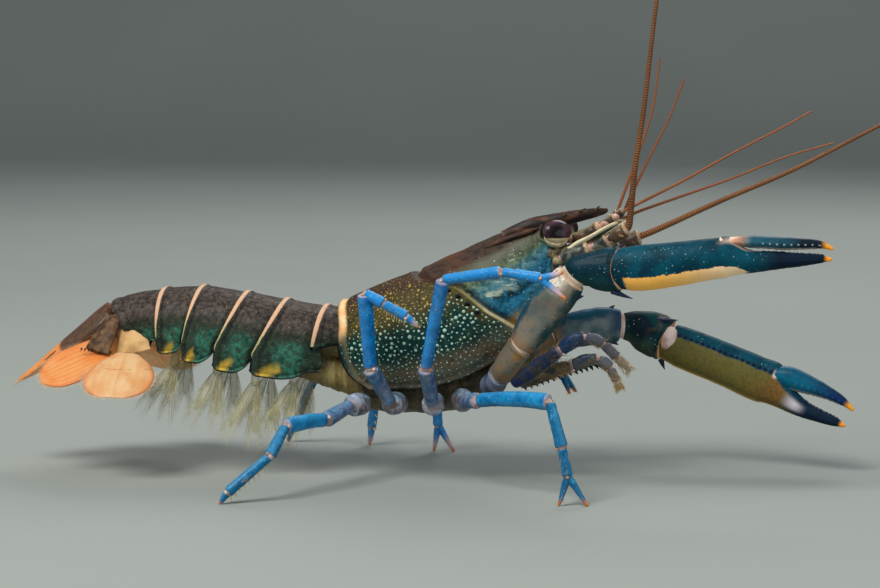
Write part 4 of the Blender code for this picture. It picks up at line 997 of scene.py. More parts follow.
def blade_shape(name, surfaces):
    upper, lower, marks = surfaces
    shape = Shape(name)
    rows, columns = upper.shape[:2]
    loop = np.concatenate((upper, lower[:, ::-1]), axis=1)
    spread = {key: np.concatenate((value, value[:, ::-1]), axis=1) for key, value in marks.items()}
    shape.grid(loop, wrap=True, **spread)
    number = np.arange(rows * columns * 2).reshape(rows, columns * 2)
    caps = []
    for row in (number[0], number[-1]):
        low = row[columns:][::-1]
        caps += [(row[i], row[i + 1], low[i + 1], low[i]) for i in range(columns - 1)]
    shape.faces.extend([list(map(int, cap)) for cap in caps])
    return shape


def limb_grid(stations, up=(0.0, 0.0, 1.0), rows=48, columns=28, ends=(0.5, 0.5)):
    """The skin of a limb through stations of (point, half thickness, half height), domed at its ends."""
    points = np.array([station[0] for station in stations], float)
    sizes = np.array([station[1:] for station in stations], float)
    place = np.concatenate(((0.0,), np.cumsum(np.linalg.norm(np.diff(points, axis=0), axis=1))))
    share = np.linspace(0, 1, rows)
    along = place[-1] * (share - 0.8 * np.sin(2 * np.pi * share) / (2 * np.pi))
    x, y, z, wide, high = reading(np.column_stack((place, points, sizes)), along)
    line = np.stack((x, y, z), -1)
    run = np.gradient(line, axis=0)
    run /= np.linalg.norm(run, axis=-1, keepdims=True)
    hint = unit(up)
    rise = []
    for way in run:
        hint = unit(hint - way * hint.dot(way))
        rise.append(hint)
    rise = np.array(rise)
    dome = np.ones(rows)
    for reach, away in zip(ends, (along, place[-1] - along)):
        dome = dome * np.sqrt(np.clip(1 - np.clip(1 - away / reach, 0, 1) ** 2, 0.01, 1))
    turn = once_round(columns)
    wide = (wide * dome)[:, None] * np.cos(turn)
    high = (high * dome)[:, None] * np.sin(turn)
    grid = line[:, None] + np.cross(run, rise)[:, None] * wide[..., None] + rise[:, None] * high[..., None]
    marks = {"along": along[:, None] + 0 * turn, "share": (along / place[-1])[:, None] + 0 * turn,
             "top": np.sin(turn) + 0 * along[:, None], "side": np.cos(turn) + 0 * along[:, None]}
    return grid, marks


def fan_paint(name, soft, pale, hard_until, rim, seam_at=-1.0):
    """A plate that is hard and brown near its root and soft and orange behind."""
    paint = Paint(name)
    share, side = paint.marks("share", "side")
    cloud = paint.noise(4.0)
    grain = paint.noise(0.6, 5)
    rays = ((side * 26).sine() * 0.5 + 0.5) * share.step(0.1, 0.4) * cloud.step(0.3, 0.6)
    paint.colour = cloud.blend(0.35, 0.65, soft, pale)
    paint.lay(rays * 0.14, (236, 190, 136))
    paint.lay(paint.dots(0.8, 0.1, 0.4) * 0.5, (150, 92, 52))
    seam = (share + side * side * 0.12 + cloud * 0.06).near(seam_at, 0.015)
    seam = seam * paint.noise(1.6).step(0.45, 0.55)
    paint.lay(seam * 0.6, (132, 84, 52))
    paint.lay(abs(side).step(0.82, 1.0) * 0.6, rim)
    paint.lay(abs(side).fade(0.0, 0.07) * share.fade(0.6, 0.95) * 0.35, (196, 104, 48))
    hard = 1 - (share + abs(side) * 0.06 + cloud.sway(0.08)).step(hard_until - 0.03, hard_until + 0.03)
    brown = grain.blend(0.35, 0.7, (92, 70, 52), (52, 44, 40))
    paint.lay(hard, brown)
    roughness = 0.35 + grain * 0.2
    normal = paint.bump(grain * 0.6 + rays * 0.4, 0.05)
    return paint.finish(roughness, normal, Coat_Weight=0.2, Subsurface_Weight=0.15)


def fringe(bed, surfaces, face, start, length, draw, sweep=(0.0, 0.0, 0.0)):
    """A row of hairs round the soft edge of a plate, from a share of its length to its end and back."""
    upper, lower, marks = surfaces
    middle = (upper + lower) / 2
    first = int(np.searchsorted(marks["share"][:, 0], start))
    edge = np.concatenate((middle[first:, 0], middle[-1, 1:-1], middle[:first - 1:-1, -1]))
    steps = np.linalg.norm(np.diff(edge, axis=0), axis=1)
    place = np.concatenate(((0,), np.cumsum(steps)))
    centre = middle[FAN_ROWS // 2, FAN_COLUMNS // 2]
    for d in np.arange(0.1, place[-1], 0.16):
        root = np.array([np.interp(d, place, edge[:, k]) for k in range(3)])
        ahead = np.array([np.interp(min(d + 0.3, place[-1]), place, edge[:, k]) for k in range(3)]) - root
        out = np.cross(ahead, face)
        out = out if out.dot(root - centre) > 0 else -out
        lie = unit(unit(out) + draw.normal(0, 0.12, 3) + sweep)
        bed.plant(root - lie * 0.15, lie, length * draw.uniform(0.75, 1.1), 0.045, draw.normal(0, 1, 3))


FAN_FRINGE = (3, 3, 0.2, 0.15)
FAN_SPINES = (8, 5, 0.08, 0.1, 1.3)


def make_fan():
    draw = np.random.default_rng(21)
    orange, peach = (226, 128, 60), (228, 144, 78)
    hairs, spines = Bed(), Bed()
    telson = blade_surfaces((-62.3, 0, 30.0), (-0.785, 0, -0.62), (0, 1, 0), 23.2, TELSON, 0.36)
    fringe(hairs, telson, np.array((-0.62, 0, 0.785)), 0.62, 1.3, draw)
    paint = fan_paint("telson", orange, peach, 0.52, (226, 120, 60))
    fit(blade_shape("tail_plate", telson).build(paint), "fan", "telson")
    inner_paint = fan_paint("inner_fan", (214, 116, 50), (218, 134, 72), 0.02, (198, 88, 38))
    outer_paint = fan_paint("outer_fan", (206, 140, 88), (214, 168, 122), 0.02, (200, 98, 42), 0.44)
    brown_paint = plain_paint("fan_foot", (112, 84, 58), (62, 48, 38), 0.45, 1.2)
    web_paint = plain_paint("fan_skin", (214, 164, 110), (178, 132, 84), 0.5, 2.4, Subsurface_Weight=0.2)
    vent = (((-59.5, 0, 26.8), 3.6, 1.6), ((-62.5, 0, 26.4), 4.2, 1.6), ((-66.0, 0, 25.0), 3.4, 0.9))
    shape = Shape("fan_skin_middle")
    shape.tube(limb_grid(vent, UP, 40, 40, (0.8, 0.8))[0])
    fit(shape.build(web_paint), "fan")
    for side, word in ((-1, "right"), (1, "left")):
        inner_lie = ((-0.87, side * 0.27, -0.38), (0.12, side, -0.95))
        outer_lie = ((0.02, side * 0.84, -0.5), (-1, side * 0.25, -0.1))
        inner = blade_surfaces((-60.2, side * 7.2, 22.8), *inner_lie, 13.8, INNER_FAN, 0.1)
        outer = blade_surfaces((-56.6, side * 8.5, 22.2), *outer_lie, 12.4, OUTER_FAN, 0.1)
        fringe(hairs, inner, blade_frame(*inner_lie)[2], 0.3, 1.1, draw)
        fringe(hairs, outer, blade_frame(*outer_lie)[2], 0.3, 1.1, draw)
        place = np.array((1, side, 1))
        for name, table, paint in (("fan_foot", FAN_FOOT, brown_paint), ("fan_skin", FAN_SKIN, web_paint)):
            stations = [(place * point, thick, broad) for point, thick, broad in table]
            grid, marks = limb_grid(stations, (1.0, 0.0, 0.3), 50, 40, (0.5, 0.35))
            ridge = 0.12 * bump_at(marks["top"] - 0.2, 0.15) + 0.03 * ripple(grid, 2.5, 17)
            shape = Shape(f"{name}_{word}")
            shape.tube(grid, ridge)
            fit(shape.build(paint), "fan")
        for share in np.linspace(0.0, 1.0, 9):
            root = place * FAN_FOOT[-1][0] + np.array((2.7 - 5.4 * share, side * 0.2, 0.3 + 0.5 * share))
            spines.plant(root, unit((-0.3, side * 0.3, -1.0)), 0.7, 0.2)
        foot = place * TELSON_SPINE
        spines.plant(foot - unit((-2.0, side * 0.7, -1.3)) * 0.5, unit((-2.0, side * 0.7, -1.3)), 2.7, 0.42)
        fit(blade_shape(f"inner_fan_{word}", inner).build(inner_paint), "fan", f"uropod_inner_{word}")
        fit(blade_shape(f"outer_fan_{word}", outer).build(outer_paint), "fan", f"uropod_outer_{word}")
    dark = plain_paint("fan_spine", (34, 28, 26), (60, 44, 34), 0.4)
    fit(spines.grow("fan_spines", dark, *FAN_SPINES), "fan")
    pale = plain_paint("fringe", (224, 196, 160), (198, 168, 134), 0.5)
    return fit(hairs.grow("fan_fringe", pale, *FAN_FRINGE), "fan")


make_fan()


# Trunk inside the carapace: gill chambers lined with soft skin, and under them the breastplate, a row of
# narrow hard plates fused across the body between the legs. Dull tan and grey, mostly hidden behind the legs.
TRUNK_INSET = 1.35
# along X, half width, top, bottom
UNDERSIDE = ((-15.4, 4.2, 15.4, 12.8), (-12.5, 5.0, 16.2, 12.4), (-6.0, 5.0, 16.3, 12.2),
             (0.0, 5.0, 16.7, 12.4), (5.0, 4.9, 18.2, 13.6), (9.5, 4.5, 20.4, 16.2),
             (13.0, 4.0, 22.7, 18.8), (16.5, 3.5, 25.9, 21.8), (19.5, 2.8, 29.4, 25.8))
# How far the plate reaches up inside the shell
TUCKED = 1.8
BREAST_RIBS = (-13.2, -9.8, -6.4, -3.2, 0.0, 2.6, 5.0, 9.9)


def make_trunk():
    ahead = np.linspace(-2.6, 39.0, 90)[:, None]
    t = np.linspace(-1, 1, 81)[None, :]
    wide, rise = shell_section(ahead, np.abs(t))
    _, _, widest, _, _ = reading(CARAPACE, ahead)
    ends = np.clip((ahead + 2.7) / 1.5, 0.05, 1) ** 0.5 * np.clip((39.4 - ahead) / 2.5, 0.05, 1) ** 0.5
    wide = np.copysign((wide - TRUNK_INSET) * ends, t)
    rise = widest + (rise - widest) * (1 - TRUNK_INSET / 9.0) * ends
    grid = in_body(ahead, wide, rise)
    shape = Shape("trunk")
    shape.tube(grid)
    return fit(shape.build(skin_paint()), "underside")


def breast_paint():
    paint = Paint("breastplate")
    cloud = paint.noise(3.0)
    grain = paint.noise(0.7, 5)
    paint.colour = cloud.blend(0.35, 0.65, (84, 76, 58), (104, 94, 72))
    paint.lay(grain.step(0.45, 0.7) * 0.7, (48, 46, 40))
    return paint.finish(0.42, paint.bump(grain, 0.08), Coat_Weight=0.25)


def boxed(wave, power):
    """A sine or cosine that dwells at its ends, for a section between round and square."""
    return np.copysign(np.abs(wave) ** power, wave)


def make_breastplate():
    x = np.linspace(UNDERSIDE[0][0], UNDERSIDE[-1][0], 150)[:, None]
    half, top, bottom = reading(UNDERSIDE, x)
    top = top + TUCKED
    turn = once_round(56)
    away = np.minimum(x - UNDERSIDE[0][0], UNDERSIDE[-1][0] - x)
    ends = np.clip(away / 0.8, 0.1, 1) ** 0.5
    ribs = sum(bump_at(x - place, 0.75) for place in BREAST_RIBS)
    across = boxed(np.cos(turn), 0.75)
    upright = boxed(np.sin(turn), 0.75)
    y = half * ends * across * (1 + 0.05 * ribs)
    below = upright < 0
    keel = 0.5 * bump_at(y, 0.5) * (1 - ribs * 0.5)
    z = (top + bottom) / 2 + (top - bottom) / 2 * ends * upright
    z = z - below * (0.4 * ribs + keel) * np.abs(upright)
    shape = Shape("breastplate")
    shape.tube(np.stack(np.broadcast_arrays(x, y, z), -1))
    return fit(shape.build(breast_paint()), "underside", "underside")


# Soft skin that joins the breastplate to the belly of the tail: along X, half width, top, bottom
WAIST = ((-31.0, 5.0, 25.0, 21.5), (-27.0, 5.4, 25.0, 18.4), (-22.5, 5.7, 24.5, 16.7),
         (-18.0, 5.4, 22.5, 15.2),
         (-13.5, 4.4, 19.0, 13.8))


def make_waist():
    x = np.linspace(WAIST[0][0], WAIST[-1][0], 90)[:, None]
    half, top, bottom = reading(WAIST, x)
    turn = once_round(56)
    folds = 1 + 0.02 * np.sin(x * 2.6) + 0.01 * np.sin(x * 6.1 + 1)
    y = half * folds * boxed(np.cos(turn), 0.8)
    z = (top + bottom) / 2 + (top - bottom) / 2 * folds * boxed(np.sin(turn), 0.8)
    shape = Shape("waist_skin")
    shape.tube(np.stack(np.broadcast_arrays(x, y, z), -1))
    return fit(shape.build(skin_paint()), "underside")


make_trunk()
make_breastplate()
make_waist()


# Swimmerets: four pairs of paddles under the tail, each a short stem with two thin leaves, clear tan skin
# stiffened by a midrib and edged with soft hairs. They hang from the bars between the side plates.
SWIMMERETS = ((2, (-25.6, -4.6, 22.0), (-27.2, -6.4, 9.4)), (3, (-32.9, -4.8, 22.6), (-33.9, -6.6, 8.2)),
              (4, (-40.2, -4.6, 23.6), (-41.0, -6.2, 11.2)), (5, (-48.0, -4.2, 24.2), (-50.4, -5.6, 13.0)))
# Stem radii along the upper part, and the vanes' half widths and thicknesses
STEM = ((0, 0.9, 0.9), (0.2, 0.85, 0.85), (0.42, 0.9, 0.8))
VANE = ((0, 0.35, 0.4), (0.25, 0.5, 0.35), (0.65, 0.52, 0.28), (0.92, 0.34, 0.2), (1, 0.12, 0.15))


def swimmeret_paint():
    paint = Paint("swimmeret")
    side = paint.mark("side")
    cloud = paint.noise(2.5)
    grain = paint.noise(0.5, 5)
    paint.colour = cloud.blend(0.35, 0.65, (160, 152, 112), (196, 190, 154))
    paint.lay(abs(side).fade(0.05, 0.3) * 0.5, (134, 104, 68))
    paint.lay(grain.step(0.6, 0.8) * 0.4, (112, 118, 100))
    return paint.finish(0.38, paint.bump(grain, 0.05), Alpha=0.42)


SWIMMERET_FRINGE = (3, 4, 0.2, 0.4)


def make_swimmerets():
    draw = np.random.default_rng(31)
    paint = swimmeret_paint()
    hairs = Bed()
    for number, root, tip in SWIMMERETS:
        for mirror, word in ((1, "right"), (-1, "left")):
            start = np.array((root[0], mirror * root[1], root[2]))
            end = np.array((tip[0], mirror * tip[1], tip[2]))
            length = np.linalg.norm(end - start)
            shape = Shape(f"swimmeret_{number}_{word}")
            stations = [(start + (end - start) * f, wide, high) for f, wide, high in STEM]
            grid, _ = limb_grid(stations, (0, 1, 0), 30, 20)
            shape.tube(grid, side=0.6)
            for lean in (-1, 1):
                heel = start + (end - start) * 0.36 + np.array((lean * 0.3, 0, 0))
                run = unit(end - start) + np.array((lean * 0.24 - 0.2, 0, 0))
                leaf = blade_surfaces(heel, run, (1, lean * 0.25, 0), length * 0.64, VANE, 0.15)
                part = blade_shape("leaf", leaf)
                shape.add(part.points[0], part.faces, **part.marks[0][1])
                fringe(hairs, leaf, blade_frame(run, (1, lean * 0.25, 0))[2], 0.05, 4.6, draw,
                       unit(run) * 4.2)
            fit(shape.build(paint), "swimmeret", f"swimmeret_{number}_{word}")
    # All of them trail back towards the tail
    hairs.rows = [(*row[:6], -1.0, 0.0, -0.3, *row[9:]) for row in hairs.rows]
    hair = plain_paint("swimmeret_hair", (214, 210, 176), (188, 184, 142), 0.5, Alpha=0.36)
    return fit(hairs.grow("swimmeret_fringe", hair, *SWIMMERET_FRINGE), "swimmeret")


make_swimmerets()


# Walking legs: four pairs of hollow limbs, each of six hard blue tubes that turn on paired knobs, with pale
# pink skin folded in between. The first two pairs end in small pincers, the last two in a single claw.
# Joints from the body out (root, coxa, ischium, merus, carpus, propodus, then the tips)
LEGS = {
    "leg_2_right": ((5.0, -5.5, 15.2), (5.9, -10.0, 15.4), (9.4, -15.3, 16.4), (23.2, -23.0, 17.6),
        (25.6, -25.0, 10.0), (26.6, -25.0, 5.1), (25.1, -25.2, 0.0), (30.1, -24.8, 0.0)),
    "leg_3_right": ((0.0, -5.5, 14.4), (0.4, -10.0, 14.6), (0.2, -15.4, 22.0), (3.9, -19.0, 38.0),
        (14.6, -21.6, 39.8), (21.6, -22.4, 38.9), (25.5, -22.8, 40.0), (25.9, -22.8, 35.4)),
    "leg_4_right": ((-6.4, -5.75, 14.2), (-7.2, -10.0, 14.6), (-10.0, -14.6, 21.6), (-10.4, -17.2, 35.2),
        (-7.0, -17.4, 33.4), (-3.0, -16.8, 31.2), (-0.9, -16.2, 29.2)),
    "leg_5_right": ((-12.9, -5.65, 13.9), (-14.7, -9.4, 14.0), (-17.7, -16.5, 12.4), (-22.9, -25.2, 12.4),
        (-24.6, -30.0, 7.9), (-31.4, -33.2, 1.9), (-32.6, -33.8, 0.0)),
    "leg_2_left": ((5.0, 5.5, 15.2), (6.4, 10.2, 15.4), (9.6, 14.8, 17.0), (13.4, 21.6, 25.0),
        (16.0, 22.4, 21.0), (20.3, 18.0, 16.8), (23.1, 16.6, 13.7), (22.0, 15.2, 13.5)),
    "leg_3_left": ((0.0, 5.5, 14.4), (0.2, 10.2, 14.6), (-0.6, 14.8, 17.0), (-4.4, 23.4, 20.6),
        (-5.2, 25.0, 13.6), (-4.9, 25.6, 5.0), (-5.8, 26.0, 0.0), (-1.8, 26.2, 0.0)),
    "leg_4_left": ((-6.4, 5.75, 14.2), (-7.6, 10.2, 14.4), (-9.6, 14.8, 17.6), (-15.2, 24.6, 23.6),
        (-17.0, 28.0, 16.6), (-19.0, 30.6, 3.6), (-19.6, 31.2, 0.0)),
    "leg_5_left": ((-12.9, 5.65, 13.9), (-15.4, 9.6, 14.0), (-19.0, 15.4, 15.4), (-27.0, 24.0, 18.6),
        (-30.0, 27.6, 13.0), (-35.4, 31.8, 2.6), (-36.4, 32.6, 0.0)),
}
# Radii of the coxa, ischium, merus, carpus and propodus
LEG_WIDTHS = (2.0, 1.3, 1.2, 0.95, 0.85)
LEG_UP = (0.2, 0.1, 1.0)
# Share of a segment's length and of its full radius there
TUBE_PROFILE = ((0.0, 0.84), (0.06, 0.94), (0.2, 0.94), (0.5, 1.02), (0.8, 1.07), (0.93, 1.12), (1.0, 1.04))
TOE_PROFILE = ((0.0, 0.98), (0.1, 1.02), (0.4, 0.86), (0.7, 0.62), (1.0, 0.34))


def segment_stations(start, end, wide, high, gaps=(0.0, 0.0), profile=TUBE_PROFILE, bend=0.0):
    start, end = np.array((start, end), float)
    run = unit(end - start)
    start, end = start + run * gaps[0], end - run * gaps[1]
    bow = UP * bend * np.linalg.norm(end - start)
    return [(start + (end - start) * share + bow * share * (1 - share) * 4, wide * size, high * size)
            for share, size in profile]


def leg_paint(name, blue, deep, far_blue, toe_colour):
    """Segments are numbered from 0, the coxa, to 5, the toe; soft skin is marked with 1."""
    paint = Paint(name)
    segment, share, top = paint.marks("segment", "share", "top")
    cloud = paint.noise(2.6)
    grain = paint.noise(0.5, 5)
    streak = paint.noise(1.2, 4)
    body = cloud.blend(0.3, 0.7, blue, deep)
    hip = cloud.blend(0.4, 0.6, (142, 136, 144), (76, 74, 72))
    # Pale lavender streaks on the coxa: partly its own streaked colour, partly painted sheen.
    hip = paint.mix(streak.step(0.52, 0.66) * 0.75, hip, (196, 192, 198))
    paint.colour = segment.blend(0.3, 0.5, hip, cloud.blend(0.35, 0.65, (108, 114, 136), (44, 74, 112)))
    paint.lay(segment.step(1.3, 1.5), body)
    paint.lay(segment.step(2.3, 2.5) * 0.75, far_blue)
    # Painted highlight: pale blue streaks along the tubes.
    paint.lay(streak.step(0.5, 0.72) * 0.35, (76, 168, 212))
    # Painted highlight: the upper side of every tube is made paler and bluer.
    paint.lay(top.step(0.2, 0.95) * 0.2, (96, 176, 218))
    paint.lay(grain.step(0.5, 0.75) * 0.4, (6, 44, 88))
    paint.lay(top.fade(-0.9, -0.2) * 0.15, (110, 140, 160))
    rim = share.step(0.955, 0.985) * (streak * 1.4 - 0.2)
    paint.lay(rim, (188, 160, 150))
    speck = paint.dots(0.62, 0.11, 0.45) * segment.step(0.4, 0.6)
    paint.lay(speck * 0.6, (150, 196, 214))
    root = share.fade(0.0, 0.05) * segment.step(0.5, 0.9)
    paint.lay(root * 0.35, (160, 140, 146))
    toe = segment.step(4.4, 4.6)
    paint.lay(toe * (share + streak.sway(0.3)).step(0.25, 0.75), toe_colour)
    paint.lay(toe * share.step(0.72, 0.95), (206, 116, 52))
    skin = cloud.blend(0.3, 0.7, (204, 186, 180), (150, 118, 104))
    paint.lay(paint.mark("soft"), skin)
    height = grain * 0.5 + speck * 0.5
    return paint.finish(0.34 + 0.24 * grain, paint.bump(height, 0.07), Coat_Weight=0.16)


def hard_segment(shape, stations, segment, up=LEG_UP, rows=44, columns=26, ends=(0.35, 0.4)):
    grid, marks = limb_grid(stations, up, rows, columns, ends)
    keel = 0.06 * bump_at(marks["top"] - 1, 0.25) * np.sin(np.pi * marks["share"])
    uneven = 0.03 * ripple(grid, 1.8, int(segment) + 40) + 0.02 * ripple(grid, 0.7, 47)
    shape.tube(grid, keel + uneven, segment=segment,
               share=marks["share"], top=marks["top"])


def soft_joint(shape, before, joint, after, radius, up=LEG_UP, tint=1.0):
    """Folded skin round a joint, from inside the segment before it to inside the one after."""
    before, joint, after = np.array((before, joint, after), float)
    back = joint + unit(before - joint) * radius * 1.5
    on = joint + unit(after - joint) * radius * 1.5
    middle = joint * 0.62 + (back + on) * 0.19
    grid, marks = limb_grid(((back, radius, radius), (middle, radius, radius), (on, radius, radius)), up,
                            34, 22)
    folds = 0.05 * np.sin(marks["along"] * 9)
    shape.tube(grid, folds, soft=tint)


def plant_knobs(bed, before, joint, after, radius):
    """The two knobs that a joint turns on, square to the plane that it bends in."""
    before, joint, after = np.array((before, joint, after), float)
    axle = np.cross(joint - before, after - joint)
    if np.linalg.norm(axle) < 1e-3:
        return
    for side in (-1, 1):
        lie = unit(axle) * side
        bed.plant(joint + lie * radius * 0.86, lie, 0.38, 0.34 * radius**0.5)


def plant_bristles(bed, start, end, radius, count, draw, length=0.9, around=(0, 2 * np.pi)):
    """Stiff hairs scattered along a segment, lying towards its far end."""
    start, end = np.array((start, end), float)
    run = unit(end - start)
    side = unit(np.cross(run, (0.13, 0.2, 0.97)))
    for _ in range(count):
        turn = draw.uniform(*around)
        out = side * math.cos(turn) + np.cross(run, side) * math.sin(turn)
        root = start + (end - start) * draw.uniform(0.15, 1.0) + out * radius * 0.85
        lie = unit(out * draw.uniform(0.5, 0.9) + run)
        reach = length * draw.uniform(0.6, 1.2)
        if root[2] + lie[2] * reach > 0.1:
            bed.plant(root, lie, reach, 0.04, -out)


def make_leg(name, joints, paint, knobs, bristles, spurs, draw):
    root, coxa, ischium, merus, carpus, hand = joints[:6]
    tips = joints[6:]
    wide = LEG_WIDTHS
    upper = Shape(name + "_upper")
    hip = ((0.0, 0.84), (0.1, 0.92), (0.35, 1.0), (0.7, 1.02), (0.88, 0.98), (1.0, 0.8))
    hard_segment(upper, segment_stations(root, coxa, wide[0], wide[0], (0, 0.1), hip), 0.0, rows=50,
                 columns=36)
    hard_segment(upper, segment_stations(coxa, ischium, wide[1], wide[1], (0.2, 0.12)), 1.0)
    merus_stations = segment_stations(ischium, merus, wide[2] * 0.92, wide[2] * 1.1, bend=0.025)
    hard_segment(upper, merus_stations, 2.0, rows=60)
    soft_joint(upper, root, coxa, ischium, wide[1] * 0.86, tint=0.35)
    soft_joint(upper, coxa, ischium, merus, wide[2] * 0.82)
    lower = Shape(name + "_lower")
    hard_segment(lower, segment_stations(merus, carpus, wide[3], wide[3]), 3.0)
    hard_segment(lower, segment_stations(carpus, hand, wide[4], wide[4]), 4.0)
    soft_joint(lower, ischium, merus, carpus, wide[3] * 0.8)
    soft_joint(lower, merus, carpus, hand, wide[4] * 0.8)
    soft_joint(lower, carpus, hand, tips[0], wide[4] * 0.66)
    for count, tip in enumerate(tips):
        heel = np.array(hand) + unit(np.array(carpus) - hand) * (0.35 if count else 0.0)
        stations = segment_stations(heel, tip, wide[4] * 0.8, wide[4] * 0.8, (0.0, 0.0), TOE_PROFILE)
        grid, marks = limb_grid(stations, LEG_UP, 40, 20, (0.3, 0.35))
        grid[..., 2] = np.maximum(grid[..., 2], 0.0)
        lower.tube(grid, segment=5.0, share=marks["share"], top=marks["top"])
        plant_bristles(bristles, heel, tip, wide[4] * 0.55, 26, draw, 0.6)
    plant_bristles(bristles, carpus, hand, wide[4] * 1.05, 46 if len(tips) == 1 else 24, draw)
    if len(tips) == 1:
        run = unit(np.array(hand) - carpus)
        under = unit(run * run[2] - UP)
        for share in np.linspace(0.12, 0.98, 9):
            spot = np.array(carpus) + (np.array(hand) - carpus) * share + under * wide[4] * 0.8
            spurs.plant(spot, unit(under + run * 0.5), draw.uniform(0.8, 1.3), 0.15, UP)
    plant_bristles(bristles, merus, carpus, wide[3] * 1.05, 12, draw, 0.7)
    for before, joint, after, radius in ((coxa, ischium, merus, wide[2]), (ischium, merus, carpus, wide[3]),
                                         (merus, carpus, hand, wide[4]), (carpus, hand, tips[0], wide[4])):
        plant_knobs(knobs, before, joint, after, radius)
    fit(upper.build(paint), "leg", name + "_upper")
    fit(lower.build(paint), "leg", name + "_lower")


JOINT_KNOBS = (10, 6, 0.05, 0.0, 2.4)
LEG_BRISTLES = (3, 4, 0.15, 0.2)
LEG_SPURS = (6, 5, 0.1, 0.25)


def make_legs():
    draw = np.random.default_rng(41)
    bright = leg_paint("leg_bright", (0, 126, 196), (0, 92, 156), (36, 132, 198), (188, 164, 172))
    dark = leg_paint("leg_dark", (18, 130, 182), (4, 92, 144), (4, 86, 124), (40, 104, 146))
    knobs, bristles, spurs = Bed(), Bed(), Bed()
    for name, joints in LEGS.items():
        make_leg(name, joints, bright if name[4] in "34" else dark, knobs, bristles, spurs, draw)
    knob = plain_paint("joint_knob", (204, 178, 164), (156, 112, 84), 0.35)
    fit(knobs.grow("joint_knobs", knob, *JOINT_KNOBS), "leg")
    hair = plain_paint("leg_bristle", (206, 186, 120), (170, 140, 80), 0.45)
    fit(bristles.grow("leg_bristles", hair, *LEG_BRISTLES), "leg")
    horn = plain_paint("leg_spur", (226, 212, 156), (196, 170, 110), 0.4)
    fit(spurs.grow("leg_spurs", horn, *LEG_SPURS), "leg")


make_legs()


